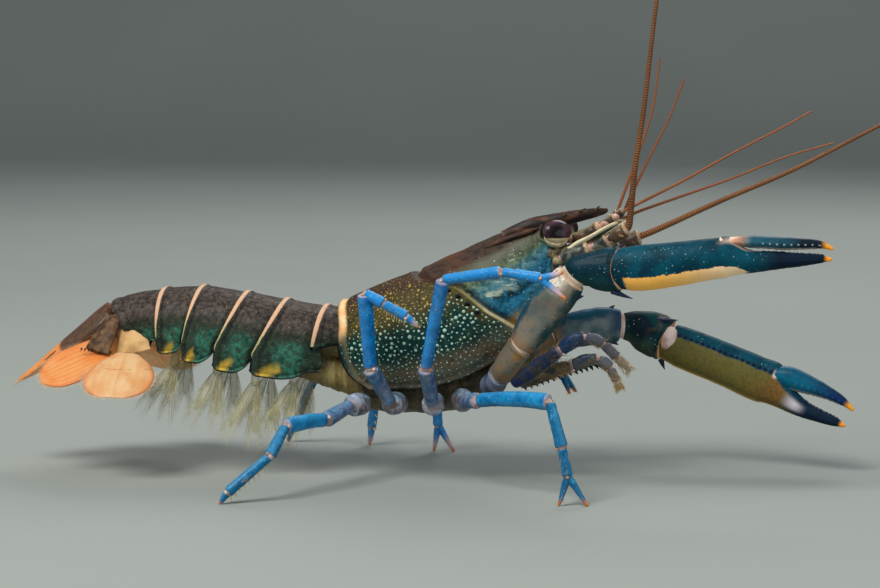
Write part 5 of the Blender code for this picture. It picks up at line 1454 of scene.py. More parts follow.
# Claws: the first and largest legs, thick chalky shell, dark teal with pale specks and orange fingertips. The
# outer margin of each palm has the soft orange patch of a grown male. Palms close on low rounded teeth.
# Stations of (point, half thickness, half height) for the arm, wrist, hand and moving finger
CLAWS = {
    "right": {
        "arm": (((9.9, -5.7, 17.7), 1.9, 1.9), ((11.3, -8.2, 18.5), 2.1, 2.1), ((12.6, -10.8, 20.4),
            1.9, 2.0), ((14.0, -12.2, 22.2), 2.0, 2.3), ((16.4, -13.4, 25.6), 1.9, 2.5), ((17.2, -13.8, 26.6),
            1.9, 2.4), ((19.4, -14.8, 29.8), 2.3, 3.3), ((22.2, -15.9, 33.6), 2.4, 3.5), ((24.9, -16.8, 37.0),
            2.3, 3.3), ((26.2, -17.2, 38.6), 2.1, 2.8)),
        "wrist": (((26.6, -17.3, 39.1), 1.9, 2.3), ((27.3, -17.4, 39.75), 2.2, 2.6), ((28.9, -17.5, 40.1),
            2.4, 2.9), ((31.0, -17.6, 40.1), 2.6, 3.6), ((33.2, -17.8, 40.2), 2.6, 3.85),
            ((34.6, -17.9, 40.3), 2.4, 3.6)),
        "hand": (((35.0, -17.9, 40.3), 2.4, 3.5), ((37.0, -17.9, 40.4), 2.7, 3.8), ((41.0, -17.8, 40.8),
            2.9, 3.85), ((46.0, -17.6, 41.5), 2.9, 3.65), ((50.5, -17.3, 42.2), 2.7, 3.45),
            ((53.3, -17.1, 42.6), 2.4, 3.3)),
        "thumb": (((49.5, -17.4, 41.0), 1.9, 2.0), ((53.4, -17.1, 41.4), 2.1, 2.2), ((56.8, -16.8, 41.7),
            1.8, 1.95), ((61.8, -16.3, 42.0), 1.4, 1.4), ((65.3, -15.9, 42.1), 1.05, 1.05),
            ((69.0, -15.5, 42.3), 0.6, 0.6), ((70.6, -15.3, 42.3), 0.25, 0.25)),
        "finger": (((53.85, -17.1, 45.3), 1.5, 0.75), ((56.0, -17.0, 45.35), 1.6, 0.95), ((59.0, -16.7, 45.3),
            1.4, 0.95), ((62.4, -16.3, 45.1), 1.2, 1.0), ((65.4, -15.9, 45.05), 0.95, 0.85),
            ((68.8, -15.5, 44.8), 0.6, 0.6), ((70.8, -15.2, 44.0), 0.25, 0.25)),
        "wrist_spines": (((33.2, -18.2, 36.6), (36.9, -18.4, 35.2)), ((33.0, -16.4, 43.2),
            (35.3, -15.6, 44.5))),
    },
    "left": {
        "arm": (((9.9, 5.7, 17.7), 1.9, 1.9), ((11.4, 7.8, 18.8), 2.1, 2.1), ((13.6, 9.6, 20.8), 1.9, 2.1),
            ((15.6, 10.8, 22.4), 2.0, 2.4), ((18.6, 12.2, 24.2), 1.9, 2.5), ((19.5, 12.6, 24.6), 1.9, 2.4),
            ((22.4, 13.8, 25.6), 2.3, 3.2), ((26.0, 15.1, 26.2), 2.4, 3.4), ((29.4, 16.3, 26.4), 2.3, 3.3),
            ((31.2, 16.9, 26.3), 2.1, 2.7)),
        "wrist": (((31.85, 17.1, 26.2), 1.9, 2.4), ((33.4, 17.6, 26.1), 2.3, 3.0), ((36.0, 18.3, 25.2),
            2.6, 4.0), ((38.4, 18.8, 24.2), 2.6, 4.2), ((39.7, 18.9, 23.6), 2.4, 3.8)),
        "hand": (((40.3, 18.95, 23.1), 2.4, 3.5), ((42.4, 18.9, 22.3), 2.7, 3.8), ((46.6, 18.6, 20.8),
            2.9, 3.9), ((51.4, 18.1, 19.0), 2.9, 3.95), ((56.1, 17.6, 17.1), 2.7, 4.1), ((59.3, 17.2, 16.0),
            2.5, 4.0)),
        "thumb": (((55.0, 17.6, 15.9), 2.0, 1.9), ((60.0, 17.0, 13.6), 2.2, 2.2), ((63.5, 16.3, 12.3),
            1.8, 1.65), ((67.4, 15.3, 10.8), 1.3, 1.2), ((70.8, 14.5, 9.7), 0.8, 0.8), ((73.0, 14.0, 9.0),
            0.25, 0.25)),
        "finger": (((60.5, 16.9, 18.0), 1.9, 1.6), ((62.6, 16.5, 17.5), 1.9, 2.0), ((65.4, 16.0, 16.6),
            1.6, 1.75), ((69.5, 15.2, 15.1), 1.15, 1.15), ((72.6, 14.5, 13.5), 0.7, 0.7), ((74.4, 14.1, 11.9),
            0.25, 0.25)),
        "wrist_spines": (((38.6, 19.4, 20.0), (39.3, 19.6, 17.9)), ((38.2, 17.6, 27.6), (42.0, 16.8, 27.6))),
    },
}
ARM_CUTS = (0, 2, 4, 9)
ARM_DRAWS = ((0.1, -0.2), (0.0, -0.45), (-0.6, 0.05))
FINGER_HEEL = {"right": 2.6, "left": 2.4}
# Where each palm narrows into its fixed finger
PALM_END = {"right": (((53.0, -17.1, 42.35), 2.4, 3.3), ((55.4, -16.95, 41.95), 2.0, 2.35),
                      ((58.0, -16.7, 41.8), 1.7, 1.8)),
            "left": (((58.9, 17.25, 15.95), 2.5, 3.95), ((61.2, 16.85, 14.2), 2.3, 2.75),
                     ((64.0, 16.2, 12.2), 1.8, 1.75))}
PALM_HEEL = 1.8
# Pad of pale skin on the inner side of the left wrist joint
JOINT_PAD = (40.2, 17.15, 24.1)


def trimmed(stations, first, last, draw=(0.1, 0.1)):
    """Stations first to last, drawn in a little at both ends to leave a joint."""
    part = [(np.array(point, float), wide, high) for point, wide, high in stations[first:last + 1]]
    head, tail = part[0][0], part[-1][0]
    part[0] = (head + unit(part[1][0] - head) * draw[0], *part[0][1:])
    part[-1] = (tail + unit(part[-2][0] - tail) * draw[1], *part[-1][1:])
    return part


def upright_of(stations):
    run = unit(np.array(stations[-1][0], float) - stations[0][0])
    return unit(UP - run * run[2])


def claw_colour(paint, teal, deep, specks):
    """Mottled teal with pale raised specks that thin out towards the top."""
    cloud = paint.noise(4.0)
    grain = paint.noise(0.6, 5)
    paint.colour = cloud.blend(0.35, 0.65, teal, deep)
    paint.lay(grain.step(0.55, 0.75) * 0.35, (8, 34, 44))
    paint.lay(specks * 0.85, (186, 206, 196))
    paint.lay(paint.dots(0.5, 0.07, 0.5) * 0.5, (120, 176, 180))
    return cloud, grain


def arm_paint(name, tip_bright, tip_dark, pale, grey):
    paint = Paint(name)
    specks = paint.dots(0.85, 0.11, 0.4)
    cloud, grain = claw_colour(paint, (10, 56, 62), (20, 44, 46), specks)
    segment, side, share, top = paint.marks("segment", "side", "share", "top")
    main = segment.step(1.3, 1.5)
    brow = top + cloud.sway(0.9) + grain.sway(0.3)
    face = side.step(-0.4, 0.4) * brow.step(-1.0, -0.55) * brow.fade(0.4, 0.85) * main
    paint.lay(face * 0.9, paint.mix(paint.noise(2.6).step(0.35, 0.65) * 0.7 + grain * 0.3, pale, grey))
    paint.lay(brow.step(0.45, 0.9) * main * 0.75, (14, 84, 112))
    end = main * (share + cloud.sway(0.2)).step(0.74, 0.88) * (top + grain.sway(0.6)).step(-0.5, 0.1)
    paint.lay(end * 0.95, grain.blend(0.4, 0.7, tip_bright, tip_dark))
    paint.lay(1 - segment.step(0.3, 0.5), cloud.blend(0.4, 0.62, (112, 124, 148), (70, 64, 60)))
    mottle = paint.mix(paint.noise(1.8, 5).step(0.45, 0.6), (112, 104, 88), (138, 104, 66))
    mottle = paint.mix(grain.step(0.55, 0.75) * 0.6, mottle, (70, 66, 60))
    paint.lay(segment.near(1.0, 0.4) * 0.85, mottle)
    ochre = main * (1 - (share + cloud.sway(0.3)).step(0.05, 0.2)) * side.step(-0.2, 0.3)
    paint.lay(ochre * 0.6, (150, 108, 66))
    rim = (share + grain.sway(0.02)).step(0.97, 0.985).most(share.fade(0.008, 0.02))
    paint.lay(rim * 0.8, cloud.blend(0.4, 0.6, (206, 176, 146), (140, 98, 66)))
    paint.lay(paint.mark("soft"), paint.mix(cloud, (220, 206, 192), (176, 140, 116)))
    return paint.finish(0.42 + 0.15 * grain, paint.bump(grain, 0.06), Coat_Weight=0.12)


def make_arm(word, stations):
    shape = Shape(f"arm_{word}")
    core = [(point, wide * 0.8, high * 0.8) for point, wide, high in stations]
    grid, _ = limb_grid(core, UP, 90, 28)
    shape.tube(grid, soft=1.0)
    for number, (first, last) in enumerate(zip(ARM_CUTS, ARM_CUTS[1:])):
        part = trimmed(stations, first + (number == 2), last, ARM_DRAWS[number])
        grid, marks = limb_grid(part, UP, 60, 48, (0.45, 0.35))
        collar = 0.12 * bump_at(marks["share"] - 0.95, 0.04) + 0.1 * bump_at(marks["top"] - 1, 0.2)
        uneven = 0.04 * ripple(grid, 2.5, 50 + number)
        shape.tube(grid, collar + uneven, segment=float(number), **marks)
    ends = {"right": ((230, 222, 208), (160, 134, 108), (148, 132, 112), (96, 108, 104)),
            "left": ((22, 52, 88), (44, 70, 92), (122, 134, 134), (62, 88, 98))}
    fit(shape.build(arm_paint(f"arm_{word}", *ends[word])), "claw", f"cheliped_arm_{word}")


def wrist_paint(name, olive, skin, tan, teal):
    paint = Paint(name)
    specks = paint.dots(0.8, 0.1, 0.6) * (1 - paint.mark("top").step(0.5, 0.9))
    cloud, grain = claw_colour(paint, teal, (4, 28, 38), specks)
    share, top = paint.marks("share", "top")
    low = (1 - (top + (cloud - 0.5)).step(-0.7, -0.2)) * 0.6
    paint.lay(low, olive)
    tawny = paint.noise(1.7, 5).step(0.5, 0.64) * (share + cloud.sway(0.4)).step(0.45, 0.8)
    paint.lay(tawny * 0.6, tan)
    rim = (share + grain.sway(0.03)).step(0.955, 0.975)
    paint.lay(rim * 0.9, (206, 154, 106))
    paint.lay(paint.mark("soft"), cloud.blend(0.4, 0.65, skin, (150, 112, 88)))
    return paint.finish(0.46 + 0.16 * grain, paint.bump(grain, 0.06), Coat_Weight=0.04)


def make_wrist(word, pieces, spines):
    stations = pieces["wrist"]
    shape = Shape(f"wrist_{word}")
    first = np.array(stations[0][0]) * 1.3 - np.array(stations[1][0]) * 0.3
    last = np.array(stations[-1][0]) * 1.2 - np.array(stations[-2][0]) * 0.2
    drawn = [(first, *stations[0][1:]), *stations[1:-1], (last, *stations[-1][1:])]
    grid, marks = limb_grid(drawn, UP, 70, 56, (0.6, 0.3))
    groove = -0.22 * bump_at(marks["top"] - 0.55, 0.12) * bump_at(marks["share"] - 0.6, 0.3)
    collar = 0.16 * bump_at(marks["share"] - 0.93, 0.045) - 0.1 * bump_at(marks["share"] - 0.85, 0.04)
    uneven = 0.05 * ripple(grid, 2.6, 60)
    hollow = 1.5 * (1 - marks["top"] ** 2) * np.clip((marks["share"] - 0.7) / 0.3, 0, 1) ** 1.5
    grid = grid + ring_normal(grid) * (groove + collar + uneven)[..., None]
    shape.tube(grid - unit(last - first) * hollow[..., None], **marks)
    if word == "left":
        run = unit(np.array(pieces["hand"][1][0]) - pieces["hand"][0][0])
        rise = unit(UP - run * run[2])
        pad = [(np.array(JOINT_PAD) + rise * 2.3 * place, 0.5 + 0.5 * (place == 0), 0.8 + 0.8 * (place == 0))
               for place in (-1, 0, 1)]
        grid, _ = limb_grid(pad, run, 30, 30)
        shape.tube(grid, soft=1.0)
    for near, far, size in ((pieces["arm"][-1], stations[1], 0.84), (stations[-1], pieces["hand"][1], 0.9)):
        a, b = np.array(near[0], float), np.array(far[0], float)
        ends = ((a - unit(b - a) * 0.8, near[1] * size, near[2] * size), (b, near[1] * size, near[2] * size))
        grid, skin = limb_grid(ends, UP, 30, 36)
        folds = 0.07 * np.sin(skin["along"] * 7)
        shape.tube(grid, folds, soft=1.0)
    for foot, tip in pieces["wrist_spines"]:
        foot, tip = np.array(foot), np.array(tip)
        spines.plant(foot, unit(tip - foot), np.linalg.norm(tip - foot), 0.6, UP)
    colours = {"left": ((60, 74, 56), (218, 194, 188), (104, 80, 60), (8, 60, 62)),
               "right": ((20, 64, 64), (200, 182, 160), (8, 60, 74), (2, 42, 54))}
    paint = wrist_paint(f"wrist_{word}", *colours[word])
    fit(shape.build(paint), "claw", f"cheliped_wrist_{word}")


def palm_paint(word):
    paint = Paint(f"palm_{word}")
    top = paint.mark("top")
    side = paint.mark("side")
    along = paint.mark("along")
    tip = paint.mark("finger")
    outer = side if word == "right" else 0 - side
    specks = paint.dots(0.7, 0.09, 0.7) * top.fade(0.8, 0.98) * tip.fade(0.3, 0.6)
    cloud, grain = claw_colour(paint, (0, 68, 84), (0, 44, 58), specks)
    if word == "left":
        inner = side.step(-0.2, 0.3) * (1 - (top + cloud.sway(0.3)).step(0.44, 0.56))
        paint.lay(inner * 0.9, paint.mix(grain.step(0.4, 0.8) * 0.7, (104, 94, 42), (70, 72, 36)))
        lowest = side.step(-0.3, 0.3) * top.fade(-0.95, -0.75)
        paint.lay(lowest * 0.7, (176, 152, 74))
        warm = inner * (along + cloud.sway(8) - top * 1.5).step(16.0, 21.0) * tip.fade(0.02, 0.12) * 0.5
        paint.lay(warm, grain.blend(0.4, 0.7, (128, 76, 36), (92, 60, 34)))
        tick = along.near(20.2, 0.55) * top.near(0.62, 0.24) * side.step(0.0, 0.3)
        paint.lay(tick, (236, 216, 190))
    edge = top + (paint.noise(0.7, 6) - 0.5) * 0.3 + along.step(19.0, 23.5) * 0.6
    patch = edge.fade(-0.4, -0.34) * outer.step(-0.5, -0.2)
    patch = patch * (along + top * 0.8 + (paint.noise(0.7, 6) - 0.5) * 1.5).step(-0.3, 0.3)
    patch = patch * tip.fade(0.0, 0.08)
    fade = along.step(6.0, 20.0)
    soft = paint.mix(fade, (250, 186, 88), (246, 212, 166))
    soft = paint.mix(grain.step(0.55, 0.8) * 0.3, soft, (220, 132, 50))
    paint.lay(patch, soft)
    navy = {"right": ((8, 14, 26), (8, 32, 52)), "left": ((12, 20, 34), (10, 42, 66))}[word]
    navy = paint.mix(cloud, *navy)
    paint.lay((tip + cloud.sway(0.2)).step(0.02, 0.4), navy)
    if word == "left":
        sheen = (tip + cloud.sway(0.1)).near(0.24, 0.22) * abs(top).fade(0.2, 0.75) * side.step(-0.2, 0.3)
        paint.lay(sheen * 0.85, (204, 196, 206))
    else:
        blush = along.near(19.6, 3.6) * (top - along * 0.03).near(0.32, 0.17)
        blush = blush * outer.step(-0.2, 0.3) * (cloud + 0.4)
        paint.lay(blush, (226, 190, 170))
    paint.lay(tip.step(0.89, 0.95), (240, 156, 40))
    height = grain * 0.4 + specks * 0.6
    return paint.finish(0.44 + 0.16 * grain, paint.bump(height, 0.06))


def finger_grid(stations, edge, up, bite, rows=110, columns=40):
    """A finger whose cutting edge, above (1) or below (-1), is keeled and carries low rounded teeth."""
    grid, marks = limb_grid(stations, up, rows, columns, (0.5, 0.3))
    facing = bump_at(marks["top"] - edge, 0.3)
    teeth = np.abs(np.sin(marks["along"] * np.pi / 0.85 + np.sin(marks["along"] * 1.7)))
    reach = np.clip((marks["share"] - bite) / 0.1, 0, 1) * np.clip((0.93 - marks["share"]) / 0.1, 0, 1)
    groove = -0.07 * bump_at(marks["top"] + edge * 0.15, 0.12) * np.sin(np.pi * marks["share"])
    swell = facing * reach * (0.16 + 0.13 * teeth) + groove + 0.02 * ripple(grid, 2.0, 70)
    marks["biting"] = facing * reach
    return grid + ring_normal(grid) * swell[..., None], marks


def make_hand(word, pieces, knobs):
    """The palm and its fixed finger are one shell, drawn in behind the hinge of the moving finger."""
    palm, thumb = pieces["hand"], pieces["thumb"]
    back = unit(np.array(palm[0][0]) - palm[1][0])
    stations = [(np.array(palm[0][0]) + back * PALM_HEEL, palm[0][1] * 0.94, palm[0][2] * 0.94), *palm[:-1],
                *PALM_END[word], *thumb[3:]]
    grid, marks = limb_grid(stations, UP, 230, 96, (0.5, 0.3))
    marks["along"] = marks["along"] - PALM_HEEL
    top, along = marks["top"], marks["along"]
    length = float(np.linalg.norm(np.array(palm[-1][0]) - palm[0][0]))
    beyond = along - length - 2.5
    marks["finger"] = np.clip(beyond / (along.max() - length - 2.5), 0, 1)
    teeth = np.abs(np.sin(along * np.pi / 0.85 + np.sin(along * 1.7)))
    reach = np.clip((marks["finger"] - 0.12) / 0.1, 0, 1) * np.clip((0.95 - marks["finger"]) / 0.06, 0, 1)
    bite = bump_at(top - 1, 0.3) * reach
    flat = -0.12 * bump_at(top, 0.5) * np.clip(along / 4, 0, 1) * np.clip(-beyond / 4, 0, 1)
    crest = 0.14 * bump_at(top - 1, 0.12) * np.clip(-beyond / 3, 0, 1)
    hinge = 0.36 * bump_at(along - length + 0.4, 0.9) * bump_at(top - 0.9, 0.3)
    groove = -0.08 * bump_at(top - 0.25, 0.12) * marks["finger"]
    swell = flat + crest + hinge + groove + bite * (0.16 + 0.13 * teeth)
    swell = swell + 0.03 * ripple(grid, 3.5, 64) + 0.015 * ripple(grid, 1.2, 65)
    marks["biting"] = bite
    shape = Shape(f"palm_{word}")
    shape.tube(grid, swell, **marks)
    fit(shape.build(palm_paint(word)), "claw", f"cheliped_hand_{word}")
    lean = -0.9 if word == "left" else 1.0
    points = np.array([station[0] for station in palm])
    place = np.concatenate(((0.0,), np.cumsum(np.linalg.norm(np.diff(points, axis=0), axis=1))))
    table = np.column_stack((place, points, [station[1:] for station in palm]))
    up = upright_of(palm)
    for share in np.linspace(0.06, 0.95, 17):
        x, y, z, wide, high = reading(table, share * place[-1])
        out = up * math.cos(lean) * high + LEFT * math.sin(lean) * wide
        spot = np.array((x, y, z)) + out * 0.98
        knobs.plant(spot, unit(out + unit(points[-1] - points[0]) * 0.4), 0.58, 0.34)


def finger_paint(word, near, far):
    paint = Paint(f"moving_finger_{word}")
    share, top = paint.marks("share", "top")
    cloud = paint.noise(2.5)
    grain = paint.noise(0.5, 5)
    paint.colour = paint.mix((share + cloud.sway(0.3)).step(0.35, 0.8), near, far)
    paint.lay(top.step(0.0, 0.9) * 0.4, (10, 24, 42))
    paint.lay(paint.noise(1.6, 5).step(0.52, 0.72) * 0.4, (8, 26, 44))
    bead = (paint.mark("along") * 5.2).sine().step(0.5, 0.8) * top.near(-0.25, 0.26) * share.step(0.3, 0.4)
    paint.lay(bead * (0.75 if word == "right" else 0.08), (186, 204, 196))
    paint.lay(paint.mark("biting").step(0.4, 0.8) * 0.6, (196, 176, 156))
    paint.lay((share + grain.sway(0.05)).step(0.87, 0.94), (240, 156, 40))
    root = 1 - (share + grain.sway(0.06)).step(*((0.12, 0.3) if word == "right" else (0.09, 0.13)))
    paint.lay(root * 0.85, cloud.blend(0.4, 0.6, (232, 206, 180), (206, 140, 96)))
    return paint.finish(0.4 + 0.14 * grain, paint.bump(grain, 0.04), Coat_Weight=0.08)


def make_finger(word, pieces):
    stations = pieces["finger"]
    heel = np.array(stations[0][0]) - unit(np.array(stations[1][0]) - stations[0][0]) * FINGER_HEEL[word]
    stations = [(heel, stations[0][1] * 0.9, stations[0][2]), *stations]
    shape = Shape(f"moving_finger_{word}")
    grid, marks = finger_grid(stations, -1, UP, 0.2)
    shape.tube(grid, **marks)
    near, far = ((36, 88, 106), (12, 26, 40)) if word == "right" else ((4, 92, 120), (8, 44, 88))
    fit(shape.build(finger_paint(word, near, far)), "claw", f"cheliped_finger_{word}")


CLAW_SPINES = (12, 8, 0.06, 0.1, 1.3)
PALM_TUBERCLES = (12, 8, 0.08, 0.0, 1.8)


def make_claws():
    knobs, spines = Bed(), Bed()
    for word, pieces in CLAWS.items():
        make_arm(word, pieces["arm"])
        make_wrist(word, pieces, spines)
        make_hand(word, pieces, knobs)
        make_finger(word, pieces)
        end = pieces["arm"][-2]
        run = unit(np.array(end[0]) - pieces["arm"][-4][0])
        rise = unit(UP - run * run[2])
        for edge in (-1, 1):
            foot = np.array(end[0]) + rise * edge * (end[2] - 0.4)
            spines.plant(foot, unit(rise * edge * 1.1 + run * 1.5), 1.5, 0.55)
    dark = plain_paint("palm_tubercle", (18, 26, 52), (30, 40, 70), 0.25, Coat_Weight=0.4)
    fit(knobs.grow("palm_tubercles", dark, *PALM_TUBERCLES), "claw")
    fit(spines.grow("claw_spines", dark, *CLAW_SPINES), "claw")


make_claws()


# Mouth limbs: the pair of third jaws, slim jointed legs carried forward under the head. Navy and grey tubes
# with pink joints, a toothed crest along the root piece and brushes of pale bristles on the outer pieces.
# Third jaws, right and left: stations of (point, half width, half height)
MAXILLIPEDS = {
    "right": (((14.0, -3.4, 17.9), 1.1, 1.2), ((15.8, -4.2, 19.1), 1.1, 1.5), ((19.0, -4.9, 21.6), 0.9, 1.6),
        ((21.9, -5.5, 23.8), 0.8, 1.3), ((22.9, -5.7, 24.5), 0.75, 1.0), ((25.6, -6.1, 26.4), 0.75, 1.1),
        ((27.3, -6.2, 26.9), 0.7, 0.85), ((29.6, -6.2, 26.3), 0.8, 0.9), ((30.6, -6.2, 25.7), 0.65, 0.75),
        ((33.0, -6.1, 23.4), 0.75, 0.8), ((34.0, -6.0, 22.3), 0.5, 0.6), ((35.4, -5.9, 20.8), 0.25, 0.25)),
    "left": (((14.0, 3.2, 17.0), 1.1, 1.2), ((16.2, 4.0, 17.7), 1.1, 1.5), ((19.4, 4.8, 19.0), 0.9, 1.6),
        ((22.5, 5.4, 19.8), 0.8, 1.3), ((23.6, 5.6, 20.1), 0.75, 1.0), ((26.6, 5.9, 21.2), 0.75, 1.1),
        ((28.2, 6.0, 21.4), 0.7, 0.85), ((29.8, 6.0, 20.6), 0.8, 0.9), ((30.5, 6.0, 19.8), 0.65, 0.75),
        ((31.8, 5.9, 17.4), 0.6, 0.65), ((32.4, 5.8, 15.8), 0.25, 0.25)),
}
JAW_CUTS = {"right": (0, 4, 6, 8, 9, 11), "left": (0, 4, 6, 8, 9, 10)}


def jaw_paint(word, root, second):
    paint = Paint(f"jaws_{word}")
    segment, share = paint.marks("segment", "share")
    cloud = paint.noise(1.8)
    grain = paint.noise(0.5, 5)
    paint.colour = cloud.blend(0.35, 0.65, second, (46, 66, 92))
    paint.lay(1 - segment.step(0.3, 0.5), cloud.blend(0.4, 0.6, root, (52, 54, 58)))
    paint.lay(grain.step(0.5, 0.7) * 0.5, (28, 32, 42))
    paint.lay(segment.step(1.3, 1.5) * 0.5, (118, 116, 112))
    paint.lay(segment.step(3.3, 3.5) * 0.6, (186, 166, 130))
    paint.lay(share.near(1.0, 0.06).most(share.fade(0.0, 0.04)) * 0.5, (186, 150, 136))
    paint.lay(paint.mark("soft"), (190, 156, 146))
    return paint.finish(0.34 + 0.15 * grain, paint.bump(grain, 0.04), Coat_Weight=0.25)


JAW_BRISTLES = (3, 4, 0.15, 0.25)
JAW_TEETH = (6, 4, 0.1, 0.1)


def make_jaws():
    draw = np.random.default_rng(51)
    bristles, teeth = Bed(), Bed()
    paints = {"right": jaw_paint("right", (20, 44, 82), (16, 50, 94)),
              "left": jaw_paint("left", (104, 90, 64), (84, 84, 76))}
    for word, stations in MAXILLIPEDS.items():
        shape = Shape(f"third_jaw_{word}")
        core = [(point, wide * 0.72, high * 0.72) for point, wide, high in stations]
        grid, _ = limb_grid(core, UP, 100, 20)
        shape.tube(grid, soft=1.0)
        cuts = JAW_CUTS[word]
        for number, (first, last) in enumerate(zip(cuts, cuts[1:])):
            swell = 1.15 if number else 0.86
            part = [(point, wide * 1.12, high * swell) for point, wide,
                    high in trimmed(stations, first, last)]
            grid, marks = limb_grid(part, UP, 40, 28, (0.3, 0.3))
            rim = 0.09 * bump_at(marks["share"] - 0.9, 0.08) + 0.06 * ripple(grid, 1.1, 80 + number)
            shape.tube(grid, rim, segment=float(number),
                       share=marks["share"])
            a, b = np.array(part[0][0]), np.array(part[-1][0])
            if number:
                plant_bristles(bristles, a, b, part[0][1], 130, draw, 0.9)
                for share in np.linspace(0.1, 0.95, 5) if number < 3 and word == "left" else ():
                    spot = a + (b - a) * share - UP * 1.1 * part[1][2] * 0.7
                    teeth.plant(spot, unit((0.7, 0, -1.0)), 0.9, 0.4)
            else:
                for share in np.linspace(0.1, 0.95, 9) if word == "left" else ():
                    spot = a + (b - a) * share - UP * part[1][2] * 0.7
                    teeth.plant(spot, unit((0.7, 0, -1.0)), 0.9, 0.4)
                for turn in (0, math.pi):
                    around = (turn + math.pi * 0.2, turn + math.pi * 0.8)
                    plant_bristles(bristles, a, b, part[1][2] * 0.9, 120, draw, 1.2, around)
        fit(shape.build(paints[word]), "mouthpart", f"maxilliped_{word}")
    hair = plain_paint("jaw_bristle", (196, 168, 112), (164, 128, 74), 0.5)
    fit(bristles.grow("jaw_bristles", hair, *JAW_BRISTLES), "mouthpart")
    horn = plain_paint("jaw_tooth", (30, 40, 54), (24, 28, 36), 0.4)
    fit(teeth.grow("jaw_teeth", horn, *JAW_TEETH), "mouthpart")


make_jaws()


# Eyes: each a glossy dome of thousands of tiny lenses on a short movable stalk of pale shell. The lenses are
# dark purple brown, and the dome's rim sits in a cream collar; the stalk turns in the socket below the beak.
EYE_HEEL = (20.9, 3.4, 44.55)
EYE_HEAD = (21.75, 5.2, 45.35)
# Distance from the stalk, radius
EYE_DOME = ((0, 1.7), (0.45, 2.0), (0.95, 1.95), (1.45, 1.55), (1.85, 0.95), (2.0, 0.4))


def eye_paint():
    paint = Paint("cornea")
    cloud = paint.noise(1.2)
    share, pupil = paint.marks("share", "pupil")
    rim = cloud.blend(0.3, 0.7, (74, 52, 58), (48, 32, 38))
    paint.colour = pupil.blend(0.0, 1.0, rim, (8, 6, 9))
    paint.lay(share.fade(0.02, 0.12) * 0.6, (110, 92, 92))
    paint.lay(paint.mark("lid"), cloud.blend(0.4, 0.7, (216, 196, 158), (166, 146, 110)))
    lenses = paint.dots(0.09, 0.04, 1, 0.2)
    return paint.finish(0.22, paint.bump(lenses, 0.006), Coat_Weight=0.2, Coat_Roughness=0.08)


def stalk_paint():
    paint = Paint("eyestalk")
    cloud = paint.noise(1.0)
    paint.colour = cloud.blend(0.35, 0.65, (216, 198, 160), (160, 150, 118))
    paint.lay(paint.mark("top").step(0.1, 0.7), (52, 48, 46))
    return paint.finish(0.35, Coat_Weight=0.3)


def make_eyes():
    cornea, shell = eye_paint(), stalk_paint()
    for word, side in (("right", -1), ("left", 1)):
        heel, head = (np.array((x, side * y, z)) for x, y, z in (EYE_HEEL, EYE_HEAD))
        run = unit(head - heel)
        sink = np.array((0.0, -side * 0.1, -0.9))
        stations = ((heel, 0.9, 0.8), ((heel + head) / 2, 1.4, 1.2),
                    (head - run * 0.2 + sink * 0.6, 2.1, 1.7),
                    (head + run * 0.7 + sink, 2.2, 1.95), (head + run * 1.3 + sink, 1.7, 1.6))
        grid, marks = limb_grid(stations, UP, 44, 40, (0.3, 0.3))
        shape = Shape(f"eyestalk_{word}")
        shape.tube(grid, **marks)
        fit(shape.build(shell), "stalk", f"eyestalk_{word}")
        dome = [(head + run * (d + 0.3), r * 1.32, r * 1.04) for d, r in EYE_DOME]
        grid, marks = limb_grid(dome, UP, 64, 64, (0.15, 0.5))
        centre = head + run * 0.7
        glance = unit((0.12, -0.98 * -side, 0.12))
        facing = np.sum((grid - centre) / np.linalg.norm(grid - centre, axis=-1, keepdims=True) * glance,
                        axis=-1)
        marks["pupil"] = np.clip((facing - 0.45) / 0.5, 0, 1)
        marks["lid"] = np.clip(((centre - grid)[..., 2] / EYE_DOME[1][1] - 0.5) / 0.06, 0, 1)
        shape = Shape(f"eye_{word}")
        shape.tube(grid, **marks)
        fit(shape.build(cornea), "eye", f"eye_{word}")


# Folds of the socket under each eye, on the right: place, half sizes along X, across and in height
SOCKET_FOLDS = (((21.6, 4.9, 41.7), 1.3, 0.9, 1.1), ((23.7, 5.3, 41.9), 1.1, 0.8, 0.9),
                ((25.4, 5.6, 41.2), 1.0, 0.7, 0.8),
                ((22.3, 5.4, 40.4), 1.1, 0.8, 0.8))


def make_socket_folds():
    shape = Shape("socket_folds")
    for side in (-1, 1):
        for place, long, wide, high in SOCKET_FOLDS:
            heel = np.array((place[0] - long, side * place[1], place[2] - 0.2))
            toe = np.array((place[0] + long, side * (place[1] + 0.2), place[2] + 0.2))
            stations = ((heel, wide * 0.8, high * 0.8), ((heel + toe) / 2, wide, high),
                        (toe, wide * 0.6, high * 0.6))
            grid, _ = limb_grid(stations, UP, 26, 24, (0.8, 0.8))
            shape.tube(grid, (0.1 * ripple(grid, 0.9, 90)))
    skin = plain_paint("socket_fold", (158, 142, 108), (78, 68, 54), 0.4, 1.0)
    fit(shape.build(skin), "stalk")


make_eyes()
make_socket_folds()


